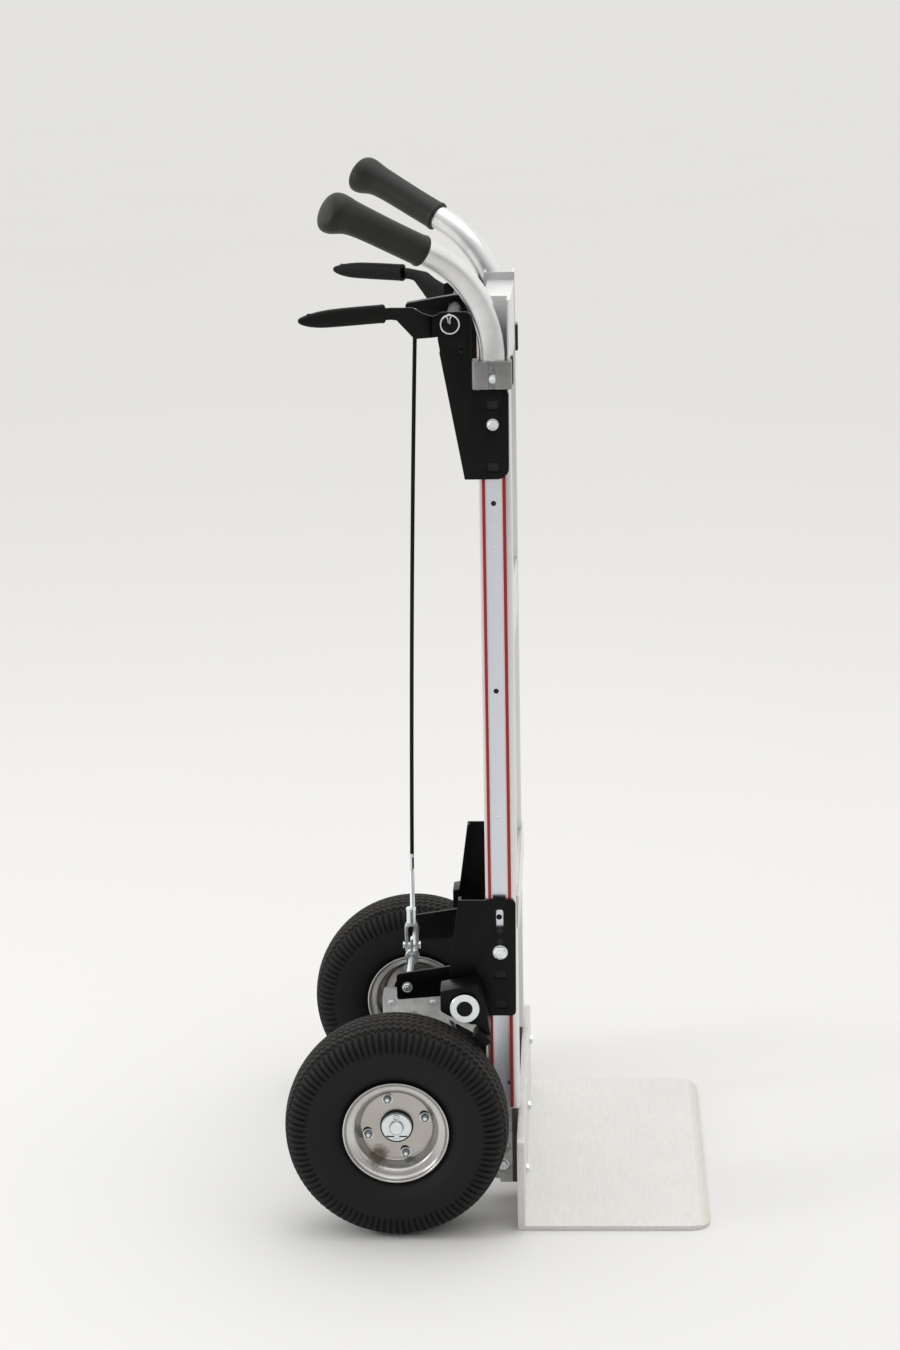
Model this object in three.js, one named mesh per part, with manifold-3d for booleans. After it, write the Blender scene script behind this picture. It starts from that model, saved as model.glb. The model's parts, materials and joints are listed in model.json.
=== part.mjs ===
// Aluminium two-wheel hand truck with pneumatic tyres and lever-operated tyre brakes.
// Units are millimetres. +X points forward over the nose plate, +Z is up, and Y = 0 is the
// mirror plane: right-hand pieces lie at -Y, left-hand pieces at +Y. The origin is on the
// floor, midway between the back of the tyres and the front edge of the nose plate.
import * as THREE from 'three';
import { mergeVertices } from 'three/addons/utils/BufferGeometryUtils.js';
import Module from 'manifold-3d';

const wasm = await Module();
wasm.setup();

// ---------------------------------------------------------------- driving dimensions
const SIDES = [{ name: 'right', sign: -1 }, { name: 'left', sign: 1 }];
const GAP = 0.3; // clearance between pieces that touch
const CURVE_STEPS = 4; // straight steps in a rounded corner

const WHEEL = { x: -117, y: 216, z: 130 };
const TYRE = { radius: 130, halfWidth: 44, bead: 52.8, toe: 12, steps: 32 };
const RIM = { sheet: 2, hole: 19.3, steps: 24, outerDisc: 8, innerDisc: 3.7 };
const HUB = { inner: 17.8, outer: 19, flange: 30, start: -33, end: 12.6, flangeStart: 1.2, flangeEnd: 3.4 };
const BEARING = { bore: 8.3, outer: 17.5, width: 10, outerEnd: 12, innerStart: -32 };
const AXLE = { radius: 7.95, reach: 235, shoulder: 12, shoulderFrom: 150.4, shoulderTo: 183.4 };
const AXLE_WASHER = { radius: 17, flat: 12.5, from: 13, thickness: 2 };

const RAIL = { back: -12.5, front: 24, inner: 112, outer: 153, foot: 122, top: 1077, wall: 3 };
const RAIL_FACE = { x: 4, wall: 4.6, grooveWidth: 19, grooveDepth: 1.6, opened: 975.5 };
const BRACE = { back: -8, front: 23.5, wall: 3, y: RAIL.inner - GAP };
const BRACES = [
  { name: 'upper_cross_brace', z: 1030, height: 76 },
  { name: 'middle_cross_brace', z: 700, height: 62 },
  { name: 'lower_cross_brace', z: 365, height: 40 },
];
const BRACE_LAP = { front: 26.5, y: 150 }; // the lower brace laps over both rail fronts

const NOSE = { heel: 22, front: 247, halfWidth: 228.5, thick: 6, corner: 28, tip: 2.5 };
const FLANGE = { thick: 8.6, height: 113, corner: 20 };
const BRACKET_FOOT = { back: 0, front: 21.7, bottom: 27, inner: 115.5, outer: 151 };
const BRACKET_ARM = { inner: 125, outer: 150, boss: 21, bore: 8.25, clampHalf: 38, clampTop: 162 };
const SPIGOT = { height: 60, clear: 0.4 };

const HANDLE = { x: 5, y: 150, foot: 982, bendFrom: 1012.3, bendRadius: 132, bend: 63.6, splay: 27.5 };
const HANDLE_TUBE = { outer: 14.3, inner: 12.3, sides: 14, steps: 14, straight: 123 };
const GRIP = { start: 9, length: 132, bore: 14.7, outer: 17.2, flare: 23, steps: 18 };
const COLLAR = {
  back: -18, front: 26, outer: 168, bottom: 980, top: 1010.5, inner: 116.5, lug: 136, groove: 4,
};

const LEVER_PIVOT = { x: -41.8, z: 1051.4 };
const LEVER_SHAFT = { radius: 7.5, reach: 160.5 };
const LEVER = { y: 148.5, thick: 4, hub: 13, bendAt: -61.5, sweep: 41, elbowAt: -105, gripSweep: 30 };
const LEVER_GRIP = { start: -112.6, end: -201.6, z: 1068.7, height: 20, width: 13, slack: 0.4 };
const CENTRE_ARM = { halfWidth: 8, wall: 2.5, hub: 14, eyeX: -88.5, eyeZ: 1048, pin: 2.6, slack: 0.9 };

const SHEET = 3; // brake bracket sheet
const BRACKET_Y = RAIL.outer + 0.4 + SHEET / 2;
const BRACKET_LIP = 141; // the folded rear edge of each brake bracket reaches in to here
const BRACKET_BOLT = { shank: 4, headHeight: 5.5, upperZ: 939, upperHead: 7, lowerZ: 318, lowerHead: 9 };
const TAB_POCKET = { half: 7.5, rise: 6, depth: 1.9, upper: [961, 891], lower: [290.6, 253.8] };
const BRAKE_SHAFT = { x: -36.6, z: 267, radius: 9, reach: 209.5 };
const SHAFT_WASHER = { bore: 9.3, outer: 17, from: 205.2, thickness: 2.4 };
const CRANK = { y: 105, thick: 4, rodX: -108.5, rodZ: 257, half: 16, tail: -121 };
const CROSS_ROD = { radius: 4, reach: 111, slack: 0.35 };
const SHOE_ARM = { inner: 166, outer: 201, sheet: 3 };
const SHOE = { faceGap: 6, thick: 11, arc: 8, middle: 45, inner: 180, outer: 208 };

const BRAKE_ROD = { radius: 2.4, topZ: 1043, bottomZ: 352, lean: 0.0243, bow: 2.6, sides: 8, steps: 10 };
const ROD_END = { radius: 4.6, top: 372, bottom: 320.4 };
const CLEVIS = {
  top: 320, body: 302, radius: 6, pinZ: 272, legX: 8, legWall: 3.6, depth: 11, foot: 6, pin: 3,
};
const TANG = { thick: 3.2, depth: 12, bottom: 248.5, top: 281, eyeWall: 4.6, slack: 1.3 };

// ---------------------------------------------------------------- geometry helpers
const rad = THREE.MathUtils.degToRad;

function bare(geometry) {
  const copy = geometry.clone();
  copy.deleteAttribute('normal');
  copy.deleteAttribute('uv');
  return mergeVertices(copy, 1e-4);
}

function volumeOf(geometry) {
  const p = geometry.attributes.position;
  const index = geometry.index;
  const [a, b, c] = [new THREE.Vector3(), new THREE.Vector3(), new THREE.Vector3()];
  let total = 0;
  for (let i = 0; i < index.count; i += 3) {
    a.fromBufferAttribute(p, index.getX(i));
    b.fromBufferAttribute(p, index.getX(i + 1));
    c.fromBufferAttribute(p, index.getX(i + 2));
    total += a.dot(b.cross(c)) / 6;
  }
  return total;
}

// Returns the geometry with merged vertices and every face pointing out of the solid.
function facingOut(geometry) {
  const solid = bare(geometry);
  if (volumeOf(solid) > 0) return solid;
  const flipped = Array.from(solid.index.array);
  for (let i = 0; i < flipped.length; i += 3) {
    [flipped[i], flipped[i + 1]] = [flipped[i + 1], flipped[i]];
  }
  solid.setIndex(flipped);
  return solid;
}

function toSolid(geometry) {
  const out = facingOut(geometry);
  const vertProperties = new Float32Array(out.attributes.position.array);
  const triVerts = new Uint32Array(out.index.array);
  return new wasm.Manifold(new wasm.Mesh({ numProp: 3, vertProperties, triVerts }));
}

function fromSolid(solid) {
  const mesh = solid.getMesh();
  const geometry = new THREE.BufferGeometry();
  geometry.setAttribute('position', new THREE.BufferAttribute(new Float32Array(mesh.vertProperties), 3));
  geometry.setIndex(Array.from(mesh.triVerts));
  return geometry;
}

function join(...geometries) {
  return fromSolid(geometries.map(toSolid).reduce((sum, next) => sum.add(next)));
}

function cut(base, ...tools) {
  return fromSolid(tools.map(toSolid).reduce((rest, tool) => rest.subtract(tool), toSolid(base)));
}

// A closed outline through the points, each corner rounded by its own radius (0 keeps it sharp).
// A corner never takes more than half of the shorter edge that meets in it.
function outline(points) {
  const shape = new THREE.Shape();
  const count = points.length;
  points.forEach(([x, z, wanted = 0], i) => {
    const here = new THREE.Vector2(x, z);
    const before = new THREE.Vector2(...points[(i + count - 1) % count]).sub(here);
    const after = new THREE.Vector2(...points[(i + 1) % count]).sub(here);
    const radius = Math.min(wanted, 0.49 * before.length(), 0.49 * after.length());
    const start = before.setLength(radius).add(here);
    const end = after.setLength(radius).add(here);
    if (i === 0) shape.moveTo(start.x, start.y);
    else shape.lineTo(start.x, start.y);
    if (radius > 0) shape.quadraticCurveTo(x, z, end.x, end.y);
  });
  shape.closePath();
  return shape;
}

function circle(x, z, radius) {
  const path = new THREE.Path();
  path.absarc(x, z, radius, 0, 2 * Math.PI, true);
  return path;
}

// Opens holes in a shape, whose outline must run anticlockwise for them.
function withHoles(shape, ...holes) {
  const points = shape.getPoints(CURVE_STEPS);
  if (THREE.ShapeUtils.isClockWise(points)) points.reverse();
  const opened = new THREE.Shape(points);
  opened.holes = holes.map((hole) => new THREE.Path(distinct(hole.getPoints(2 * CURVE_STEPS))));
  return opened;
}

// Drops every point that coincides with the one before it, the first counting as after the last.
function distinct(points) {
  return points.filter((point, i) => point.distanceTo(points.at(i - 1)) > 1e-4);
}

// Extrudes an X-Z outline along Y between two places.
function slabY(shape, y0, y1, steps = CURVE_STEPS) {
  const [low, high] = [Math.min(y0, y1), Math.max(y0, y1)];
  const geometry = new THREE.ExtrudeGeometry(shape, {
    depth: high - low, bevelEnabled: false, curveSegments: steps,
  });
  return geometry.rotateX(Math.PI / 2).translate(0, high, 0);
}

// Extrudes an X-Y outline upwards between two heights.
function slabZ(shape, z0, z1, steps = CURVE_STEPS) {
  const geometry = new THREE.ExtrudeGeometry(shape, {
    depth: z1 - z0, bevelEnabled: false, curveSegments: steps,
  });
  return geometry.translate(0, 0, z0);
}

function boxBetween([x0, y0, z0], [x1, y1, z1]) {
  const size = [Math.abs(x1 - x0), Math.abs(y1 - y0), Math.abs(z1 - z0)];
  const box = new THREE.BoxGeometry(...size);
  return box.translate((x0 + x1) / 2, (y0 + y1) / 2, (z0 + z1) / 2);
}

function rodY(radius, y0, y1, x = 0, z = 0, sides = 24) {
  const rod = new THREE.CylinderGeometry(radius, radius, Math.abs(y1 - y0), sides);
  return rod.translate(x, (y0 + y1) / 2, z);
}

function rodX(radius, x0, x1, y = 0, z = 0, sides = 16) {
  const rod = new THREE.CylinderGeometry(radius, radius, Math.abs(x1 - x0), sides);
  return rod.rotateZ(Math.PI / 2).translate((x0 + x1) / 2, y, z);
}

function rodZ(radius, z0, z1, x = 0, y = 0, sides = 16) {
  const rod = new THREE.CylinderGeometry(radius, radius, Math.abs(z1 - z0), sides);
  return rod.rotateX(Math.PI / 2).translate(x, y, (z0 + z1) / 2);
}

// Turns a closed [radius, offset] profile about the Y axis; offset grows outwards from Y = 0.
function turned(profile, sign, steps) {
  const points = profile.map(([r, offset]) => new THREE.Vector2(r, sign * offset));
  points.push(points[0].clone());
  return new THREE.LatheGeometry(points, steps);
}

// Thickens an open [radius, offset] line into a closed sheet-metal profile.
function sheetProfile(line, thickness) {
  const back = line.map(([r, o], i) => {
    const before = line[Math.max(i - 1, 0)];
    const after = line[Math.min(i + 1, line.length - 1)];
    const along = new THREE.Vector2(after[0] - before[0], after[1] - before[1]).normalize();
    return [r + along.y * thickness, o - along.x * thickness];
  });
  return [...line, ...back.reverse()];
}

const FINISH = {
  extrusion: { color: 0xc9ccd0, roughness: 0.35, metalness: 0.9 },
  casting: { color: 0x8e9194, roughness: 0.55, metalness: 0.8 },
  polishedTube: { color: 0xe4e4e6, roughness: 0.22, metalness: 1 },
  nosePlate: { color: 0xdcdad6, roughness: 0.5, metalness: 0.7 },
  platedSteel: { color: 0xc6c8c4, roughness: 0.3, metalness: 1 },
  blackSteel: { color: 0x151515, roughness: 0.45, metalness: 0.3 },
  tyreRubber: { color: 0x1d1d1e, roughness: 0.85, metalness: 0 },
  gripRubber: { color: 0x222222, roughness: 0.75, metalness: 0 },
};

function piece(name, geometry, finish) {
  const mesh = new THREE.Mesh(facingOut(geometry), new THREE.MeshStandardMaterial(FINISH[finish]));
  mesh.name = name;
  return mesh;
}

function assembly(...children) {
  const group = new THREE.Group();
  group.add(...children);
  return group;
}

// ---------------------------------------------------------------- frame
// Hollow extruded rail; its outer wall is milled away at the top to seat the handle collar.
function rail({ name, sign }) {
  const { back, front, inner, outer, wall } = RAIL;
  const faceHalf = RAIL_FACE.grooveWidth / 2;
  const floor = outer - RAIL_FACE.grooveDepth;
  const section = outline([
    [back, sign * inner], [front, sign * inner], [front, sign * outer, 4],
    [RAIL_FACE.x + faceHalf, sign * outer], [RAIL_FACE.x + faceHalf, sign * floor],
    [RAIL_FACE.x - faceHalf, sign * floor], [RAIL_FACE.x - faceHalf, sign * outer],
    [back, sign * outer, 1.5],
  ]);
  const hollow = outline([
    [back + wall, sign * (inner + wall)], [front - wall, sign * (inner + wall)],
    [front - wall, sign * (outer - RAIL_FACE.wall)], [back + wall, sign * (outer - RAIL_FACE.wall)],
  ]);
  const bar = slabZ(withHoles(section, hollow), RAIL.foot, RAIL.top, 2);
  const opening = boxBetween(
    [back + wall, sign * (outer - 2 * RAIL_FACE.wall), RAIL_FACE.opened],
    [front - wall, sign * (outer + 1), RAIL.top + 1]);
  const tubePath = tubeAlong(sign, HANDLE_TUBE.outer + 2 * GAP, 0);
  return piece(`${name}_rail`, cut(bar, opening, tubePath), 'extrusion');
}

// Channel section, open to the back, standing between the two rails.
function crossBrace({ name, z, height }) {
  const { back, front, wall, y } = BRACE;
  const [low, high] = [z - height / 2, z + height / 2];
  const section = outline([
    [back, low], [front, low], [front, high], [back, high],
    [back, high - wall], [front - wall, high - wall],
    [front - wall, low + wall], [back, low + wall],
  ]);
  return piece(name, slabY(section, -y, y), 'extrusion');
}

function lowerCrossBrace(brace) {
  const body = crossBrace(brace);
  const low = brace.z - brace.height / 2;
  const high = brace.z + brace.height / 2;
  const lap = boxBetween([BRACE.front - 1, -BRACE_LAP.y, low], [BRACE_LAP.front, BRACE_LAP.y, high]);
  const relief = SIDES.map(({ sign }) => boxBetween(
    [BRACE.front - 2, sign * (BRACE.y - 0.01), low - 1],
    [RAIL.front + GAP, sign * (BRACE_LAP.y + 1), high + 1]));
  return piece(brace.name, join(body.geometry, cut(lap, ...relief)), 'extrusion');
}

// Flat blade with rounded front corners and a tapered leading edge, folded up at the heel.
function nosePlate() {
  const { heel, front, halfWidth, thick, corner, tip } = NOSE;
  const blade = slabZ(outline([
    [heel, -halfWidth], [front, -halfWidth, corner], [front, halfWidth, corner], [heel, halfWidth],
  ]), 0, thick);
  const bevelRun = 14;
  const bevel = slabY(outline([
    [front - bevelRun, thick], [front + 1, tip], [front + 1, thick + 1], [front - bevelRun, thick + 1],
  ]), -halfWidth - 1, halfWidth + 1);
  const heelWall = new THREE.ExtrudeGeometry(outline([
    [-halfWidth, 0], [halfWidth, 0],
    [halfWidth, FLANGE.height, FLANGE.corner], [-halfWidth, FLANGE.height, FLANGE.corner],
  ]), { depth: FLANGE.thick, bevelEnabled: false, curveSegments: CURVE_STEPS });
  heelWall.rotateX(Math.PI / 2).rotateZ(Math.PI / 2).translate(heel, 0, 0);
  return piece('nose_plate', join(cut(blade, bevel), heelWall), 'nosePlate');
}

// Casting that plugs into the rail, carries the nose plate and reaches back to the axle.
function axleBracket({ name, sign }) {
  const { back, front, bottom, inner, outer } = BRACKET_FOOT;
  const top = RAIL.foot - GAP;
  const leg = boxBetween([back, sign * inner, bottom], [front, sign * outer, top]);
  const seatBack = RAIL.back + RAIL.wall + SPIGOT.clear;
  const seatOuter = RAIL.outer - RAIL_FACE.wall - SPIGOT.clear;
  const spigot = boxBetween(
    [seatBack, sign * (RAIL.inner + RAIL.wall + SPIGOT.clear), top - 8],
    [RAIL.front - RAIL.wall - SPIGOT.clear, sign * seatOuter, RAIL.foot + SPIGOT.height]);
  const { x, z } = WHEEL;
  const { clampHalf, clampTop } = BRACKET_ARM;
  const arm = slabY(outline([
    [x - clampHalf, clampTop, 4], [x + clampHalf, clampTop, 4], [x + clampHalf + 3, clampTop - 12],
    [-22, 112], [front - 2, top - 2], [front - 2, bottom + 4], [-8, bottom + 4, 8],
    [-52, 72, 20], [x + 14, z - BRACKET_ARM.boss - 4, 10], [x - 16, z - BRACKET_ARM.boss, 8],
    [x - clampHalf, z + 2, 6],
  ]), sign * BRACKET_ARM.inner, sign * BRACKET_ARM.outer, 3);
  const bore = rodY(BRACKET_ARM.bore, 0, sign * 400, x, z, 32);
  const pocket = slabY(outline([[-72, 128, 4], [-24, 100, 4], [-24, 62, 6], [-58, 96, 6]]),
    sign * (BRACKET_ARM.inner - 1), sign * (BRACKET_ARM.outer + 1), 3);
  return piece(`${name}_axle_bracket`, cut(join(leg, spigot, arm), bore, pocket), 'casting');
}

function axle() {
  const bar = rodY(AXLE.radius, -AXLE.reach, AXLE.reach, WHEEL.x, WHEEL.z, 20);
  const shoulders = SIDES.map(({ sign }) => rodY(AXLE.shoulder,
    sign * AXLE.shoulderFrom, sign * AXLE.shoulderTo, WHEEL.x, WHEEL.z, 20));
  return piece('axle', join(bar, ...shoulders), 'platedSteel');
}

// ---------------------------------------------------------------- wheels
function tyre({ name, sign }) {
  const { radius, halfWidth, bead, toe } = TYRE;
  const outside = [
    [bead, toe], [bead, 22.5], [62, 26], [74, 38], [93, halfWidth], [113, 41], [125.5, 31], [radius, 12],
  ];
  const inside = [[60, toe], [79, 31], [98, 36.5], [112, 31], [122, 10]];
  const mirrored = (line) => line.map(([r, o]) => [r, -o]);
  const profile = [
    ...outside, ...mirrored(outside).reverse(), ...mirrored(inside), ...inside.reverse(),
  ];
  return piece(`${name}_tyre`, turned(profile, sign, TYRE.steps), 'tyreRubber');
}

function outerRim({ name, sign }) {
  const line = [[RIM.hole, RIM.outerDisc], [42, RIM.outerDisc], [49.5, 24], [56, 26.5], [60, 32]];
  return piece(`${name}_outer_rim`, turned(sheetProfile(line, RIM.sheet).map(clampHole), sign,
    RIM.steps), 'platedSteel');
}

function clampHole([r, o]) {
  return [Math.max(r, RIM.hole), o];
}

function innerRim({ name, sign }) {
  const line = [[RIM.hole, RIM.innerDisc], [41, RIM.innerDisc], [49.5, -24], [56, -26.5], [60, -32]];
  return piece(`${name}_inner_rim`, turned(sheetProfile(line, -RIM.sheet).map(clampHole), sign,
    RIM.steps), 'platedSteel');
}

function hub({ name, sign }) {
  const { inner, outer, flange, start, end, flangeStart, flangeEnd } = HUB;
  const profile = [
    [inner, start], [outer, start], [outer, flangeStart], [flange, flangeStart], [flange, flangeEnd],
    [outer, flangeEnd], [outer, end], [inner, end],
  ];
  return piece(`${name}_hub`, turned(profile, sign, 20), 'platedSteel');
}

function bearing(name, sign, from, to) {
  const { bore, outer } = BEARING;
  const profile = [[bore, from], [outer, from], [outer, to], [bore, to]];
  return piece(name, turned(profile, sign, 20), 'platedSteel');
}

function axleWasher({ name, sign }) {
  const { radius, flat, from, thickness } = AXLE_WASHER;
  const disc = rodY(radius, sign * from, sign * (from + thickness), 0, 0, 20);
  const flatCut = boxBetween([-radius, -100, -radius - 1], [radius, 100, -flat]);
  const bore = rodY(BEARING.bore, -100, 100, 0, 0, 20);
  return piece(`${name}_axle_washer`, cut(disc, flatCut, bore), 'platedSteel');
}

function wheel(side) {
  const { width, outerEnd, innerStart } = BEARING;
  const group = assembly(
    tyre(side), outerRim(side), innerRim(side), hub(side), axleWasher(side),
    bearing(`${side.name}_outer_bearing`, side.sign, outerEnd - width, outerEnd),
    bearing(`${side.name}_inner_bearing`, side.sign, innerStart, innerStart + width));
  group.position.set(WHEEL.x, side.sign * WHEEL.y, WHEEL.z);
  return group;
}

// ---------------------------------------------------------------- handles
// Centre line of a handle: up out of the collar, then bent back and splayed outwards.
class HandleLine extends THREE.Curve {
  constructor(sign, straight) {
    super();
    this.sign = sign;
    this.rise = HANDLE.bendFrom - HANDLE.foot;
    this.arc = HANDLE.bendRadius * rad(HANDLE.bend);
    this.length = this.rise + this.arc + straight;
  }

  getPoint(t, target = new THREE.Vector3()) {
    const run = t * this.length;
    const turn = rad(HANDLE.bend);
    let back = 0;
    let up = HANDLE.foot + Math.min(run, this.rise);
    if (run > this.rise) {
      const angle = Math.min((run - this.rise) / HANDLE.bendRadius, turn);
      back = HANDLE.bendRadius * (1 - Math.cos(angle));
      up = HANDLE.bendFrom + HANDLE.bendRadius * Math.sin(angle);
      const beyond = Math.max(run - this.rise - this.arc, 0);
      back += beyond * Math.sin(turn);
      up += beyond * Math.cos(turn);
    }
    const splay = rad(HANDLE.splay);
    return target.set(HANDLE.x - back * Math.cos(splay),
      this.sign * (HANDLE.y + back * Math.sin(splay)), up);
  }
}

function ringShape(outer, inner, sides) {
  const ring = (radius) => Array.from({ length: sides }, (unused, i) => {
    const angle = (2 * Math.PI * i) / sides;
    return new THREE.Vector2(radius * Math.cos(angle), radius * Math.sin(angle));
  });
  const shape = new THREE.Shape(ring(outer));
  if (inner > 0) shape.holes.push(new THREE.Path(ring(inner)));
  return shape;
}

function tubeAlong(sign, outer, inner) {
  return new THREE.ExtrudeGeometry(ringShape(outer, inner, HANDLE_TUBE.sides), {
    steps: HANDLE_TUBE.steps,
    bevelEnabled: false,
    extrudePath: new HandleLine(sign, HANDLE_TUBE.straight),
  });
}

function handleTube({ name, sign }) {
  return piece(`${name}_handle_tube`,
    tubeAlong(sign, HANDLE_TUBE.outer, HANDLE_TUBE.inner), 'polishedTube');
}

// Rubber sleeve with a closed, flared end, drawn along +Y and then laid on the tube.
function handleGrip({ name, sign }) {
  const { start, length, bore, outer, flare, steps } = GRIP;
  const tubeEnd = HANDLE_TUBE.straight + 1;
  const profile = [
    [bore, start], [outer - 1, start], [outer, start + 2], [outer, length - 39],
    [outer + 1.5, length - 25], [flare - 2, length - 14], [flare, length - 6],
    [flare - 3.5, length - 1], [0, length], [0, tubeEnd], [bore, tubeEnd],
  ].map(([r, along]) => new THREE.Vector2(r, along));
  profile.push(profile[0].clone());
  const geometry = new THREE.LatheGeometry(profile, steps);
  const line = new HandleLine(sign, HANDLE_TUBE.straight);
  const from = line.getPoint((line.rise + line.arc) / line.length);
  const axis = line.getPoint(1).sub(from).normalize();
  const mesh = piece(`${name}_handle_grip`, geometry, 'gripRubber');
  mesh.quaternion.setFromUnitVectors(new THREE.Vector3(0, 1, 0), axis);
  mesh.position.copy(from);
  return mesh;
}

// Cast collar that clamps the tube in the milled head of the rail.
function handleCollar({ name, sign }) {
  const { back, front, outer, bottom, top, inner, lug, groove: grooveHalf } = COLLAR;
  const wallOut = RAIL.outer + GAP;
  const section = outline([
    [RAIL.back + RAIL.wall + GAP, sign * inner], [RAIL.front - RAIL.wall - GAP, sign * inner],
    [RAIL.front - RAIL.wall - GAP, sign * wallOut], [RAIL.front + GAP, sign * wallOut],
    [RAIL.front + GAP, sign * lug], [front, sign * lug], [front, sign * outer, 2],
    [back, sign * outer, 5], [back, sign * lug], [RAIL.back - GAP, sign * lug],
    [RAIL.back - GAP, sign * wallOut], [RAIL.back + RAIL.wall + GAP, sign * wallOut],
  ]);
  const block = slabZ(section, bottom, top, 3);
  const bore = rodZ(HANDLE_TUBE.outer + GAP, bottom - 1, top + 1, HANDLE.x, sign * HANDLE.y, 28);
  const groove = boxBetween([RAIL_FACE.x - grooveHalf, sign * (outer - 1.5), bottom - 1],
    [RAIL_FACE.x + grooveHalf, sign * (outer + 1), top + 1]);
  return piece(`${name}_handle_collar`, cut(block, bore, groove), 'casting');
}

// ---------------------------------------------------------------- hand levers
function upperBrakeBracket({ name, sign }) {
  const pivot = circle(LEVER_PIVOT.x, LEVER_PIVOT.z, LEVER_SHAFT.radius + 0.5);
  const gauge = circle(-29.4, 1022.7, 2.5);
  const plate = slabY(withHoles(outline([
    [-28.2, 877], [13.6, 877, 8], [21.5, 885, 4], [22.2, 977.3, 6], [-17.6, 977.3, 3],
    [-19.4, 984], [-18.2, 1065, 7], [-55.8, 1065, 7], [-55.5, 1034],
  ]), pivot, gauge), sign * (BRACKET_Y - SHEET / 2), sign * (BRACKET_Y + SHEET / 2));
  const lip = slabY(outline([[-28.2, 877], [-25.1, 877], [-51, 1020], [-54.2, 1020]]),
    sign * BRACKET_LIP, sign * BRACKET_Y);
  const boltHole = rodY(BRACKET_BOLT.shank + 0.4, 0, sign * 400, RAIL_FACE.x, BRACKET_BOLT.upperZ, 16);
  const tabs = TAB_POCKET.upper.map((z) => tabPocket(sign, z));
  return piece(`${name}_upper_brake_bracket`, cut(join(plate, lip), boltHole, ...tabs), 'blackSteel');
}

// Pressed pocket in the bracket sheet, behind which a tab sits in the rail's groove.
function tabPocket(sign, z) {
  const { half, rise, depth } = TAB_POCKET;
  const face = BRACKET_Y + SHEET / 2;
  return boxBetween([RAIL_FACE.x - half, sign * (face - depth), z - rise],
    [RAIL_FACE.x + half, sign * (face + 1), z + rise]);
}

// Hexagon-head bolt through the bracket into the rail's outer wall.
function bracketBolt(name, sign, z, headRadius) {
  const { shank, headHeight } = BRACKET_BOLT;
  const face = BRACKET_Y + SHEET / 2 + GAP;
  const wallHole = RAIL.outer - RAIL_FACE.grooveDepth + 0.4;
  const head = rodY(headRadius, sign * face, sign * (face + headHeight), RAIL_FACE.x, z, 12);
  const stem = rodY(shank, sign * wallHole, sign * (face + 1), RAIL_FACE.x, z, 16);
  return piece(name, join(head, stem), 'platedSteel');
}

function leverShaft() {
  const { radius, reach } = LEVER_SHAFT;
  return piece('lever_shaft', rodY(radius, -reach, reach, LEVER_PIVOT.x, LEVER_PIVOT.z, 20), 'platedSteel');
}

// Plan place of the lever's middle plane at a given X, swept outwards in two bends.
function leverPlan(x) {
  const { y, bendAt, sweep, elbowAt, gripSweep } = LEVER;
  const first = Math.max(Math.min(bendAt - x, bendAt - elbowAt), 0);
  const second = Math.max(elbowAt - x, 0);
  return y + first * Math.tan(rad(sweep)) + second * Math.tan(rad(gripSweep));
}

// Extrudes a side view along the swept lever plan: stations in X with their low and high edges.
function sweptPlate(stations, sign, halfThick) {
  const positions = [];
  stations.forEach(([x, low, high]) => {
    const y = leverPlan(x);
    [[-1, low], [-1, high], [1, high], [1, low]].forEach(([face, z]) => {
      positions.push(x, sign * (y + face * halfThick), z);
    });
  });
  const faces = [0, 1, 2, 0, 2, 3];
  for (let i = 0; i + 1 < stations.length; i += 1) {
    for (let k = 0; k < 4; k += 1) {
      const [a, b] = [4 * i + k, 4 * i + ((k + 1) % 4)];
      faces.push(a, a + 4, b, b, a + 4, b + 4);
    }
  }
  const last = 4 * (stations.length - 1);
  faces.push(last, last + 2, last + 1, last, last + 3, last + 2);
  const geometry = new THREE.BufferGeometry();
  geometry.setAttribute('position', new THREE.Float32BufferAttribute(positions, 3));
  geometry.setIndex(faces);
  return geometry;
}

const TONGUE_HALF = 6.6;

function brakeLever({ name, sign }) {
  const { x, z } = LEVER_PIVOT;
  const half = LEVER.thick / 2;
  const swept = sweptPlate([
    [LEVER.bendAt + 1, 1036, 1059.5], [LEVER.bendAt, 1036, 1059.5], [-71.8, 1036.5, 1064.4],
    [-80.6, 1037, 1070.8], [-84, 1041, 1072], [-99, 1060, 1073.6], [LEVER.elbowAt, 1061.4, 1074.4],
    [LEVER_GRIP.end + 9, LEVER_GRIP.z - TONGUE_HALF, LEVER_GRIP.z + TONGUE_HALF],
  ], sign, half);
  const cheek = slabY(outline([
    [LEVER.bendAt, 1036], [x, z - LEVER.hub, 8], [x + LEVER.hub, z - LEVER.hub, 11],
    [x + LEVER.hub, z + LEVER.hub, 11], [x - 4, z + LEVER.hub, 6], [LEVER.bendAt, 1059.5],
  ]), sign * (LEVER.y - half), sign * (LEVER.y + half));
  const bore = rodY(LEVER_SHAFT.radius + GAP, 0, sign * 400, x, z, 28);
  return piece(`${name}_brake_lever`, cut(join(swept, cheek), bore), 'blackSteel');
}

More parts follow.
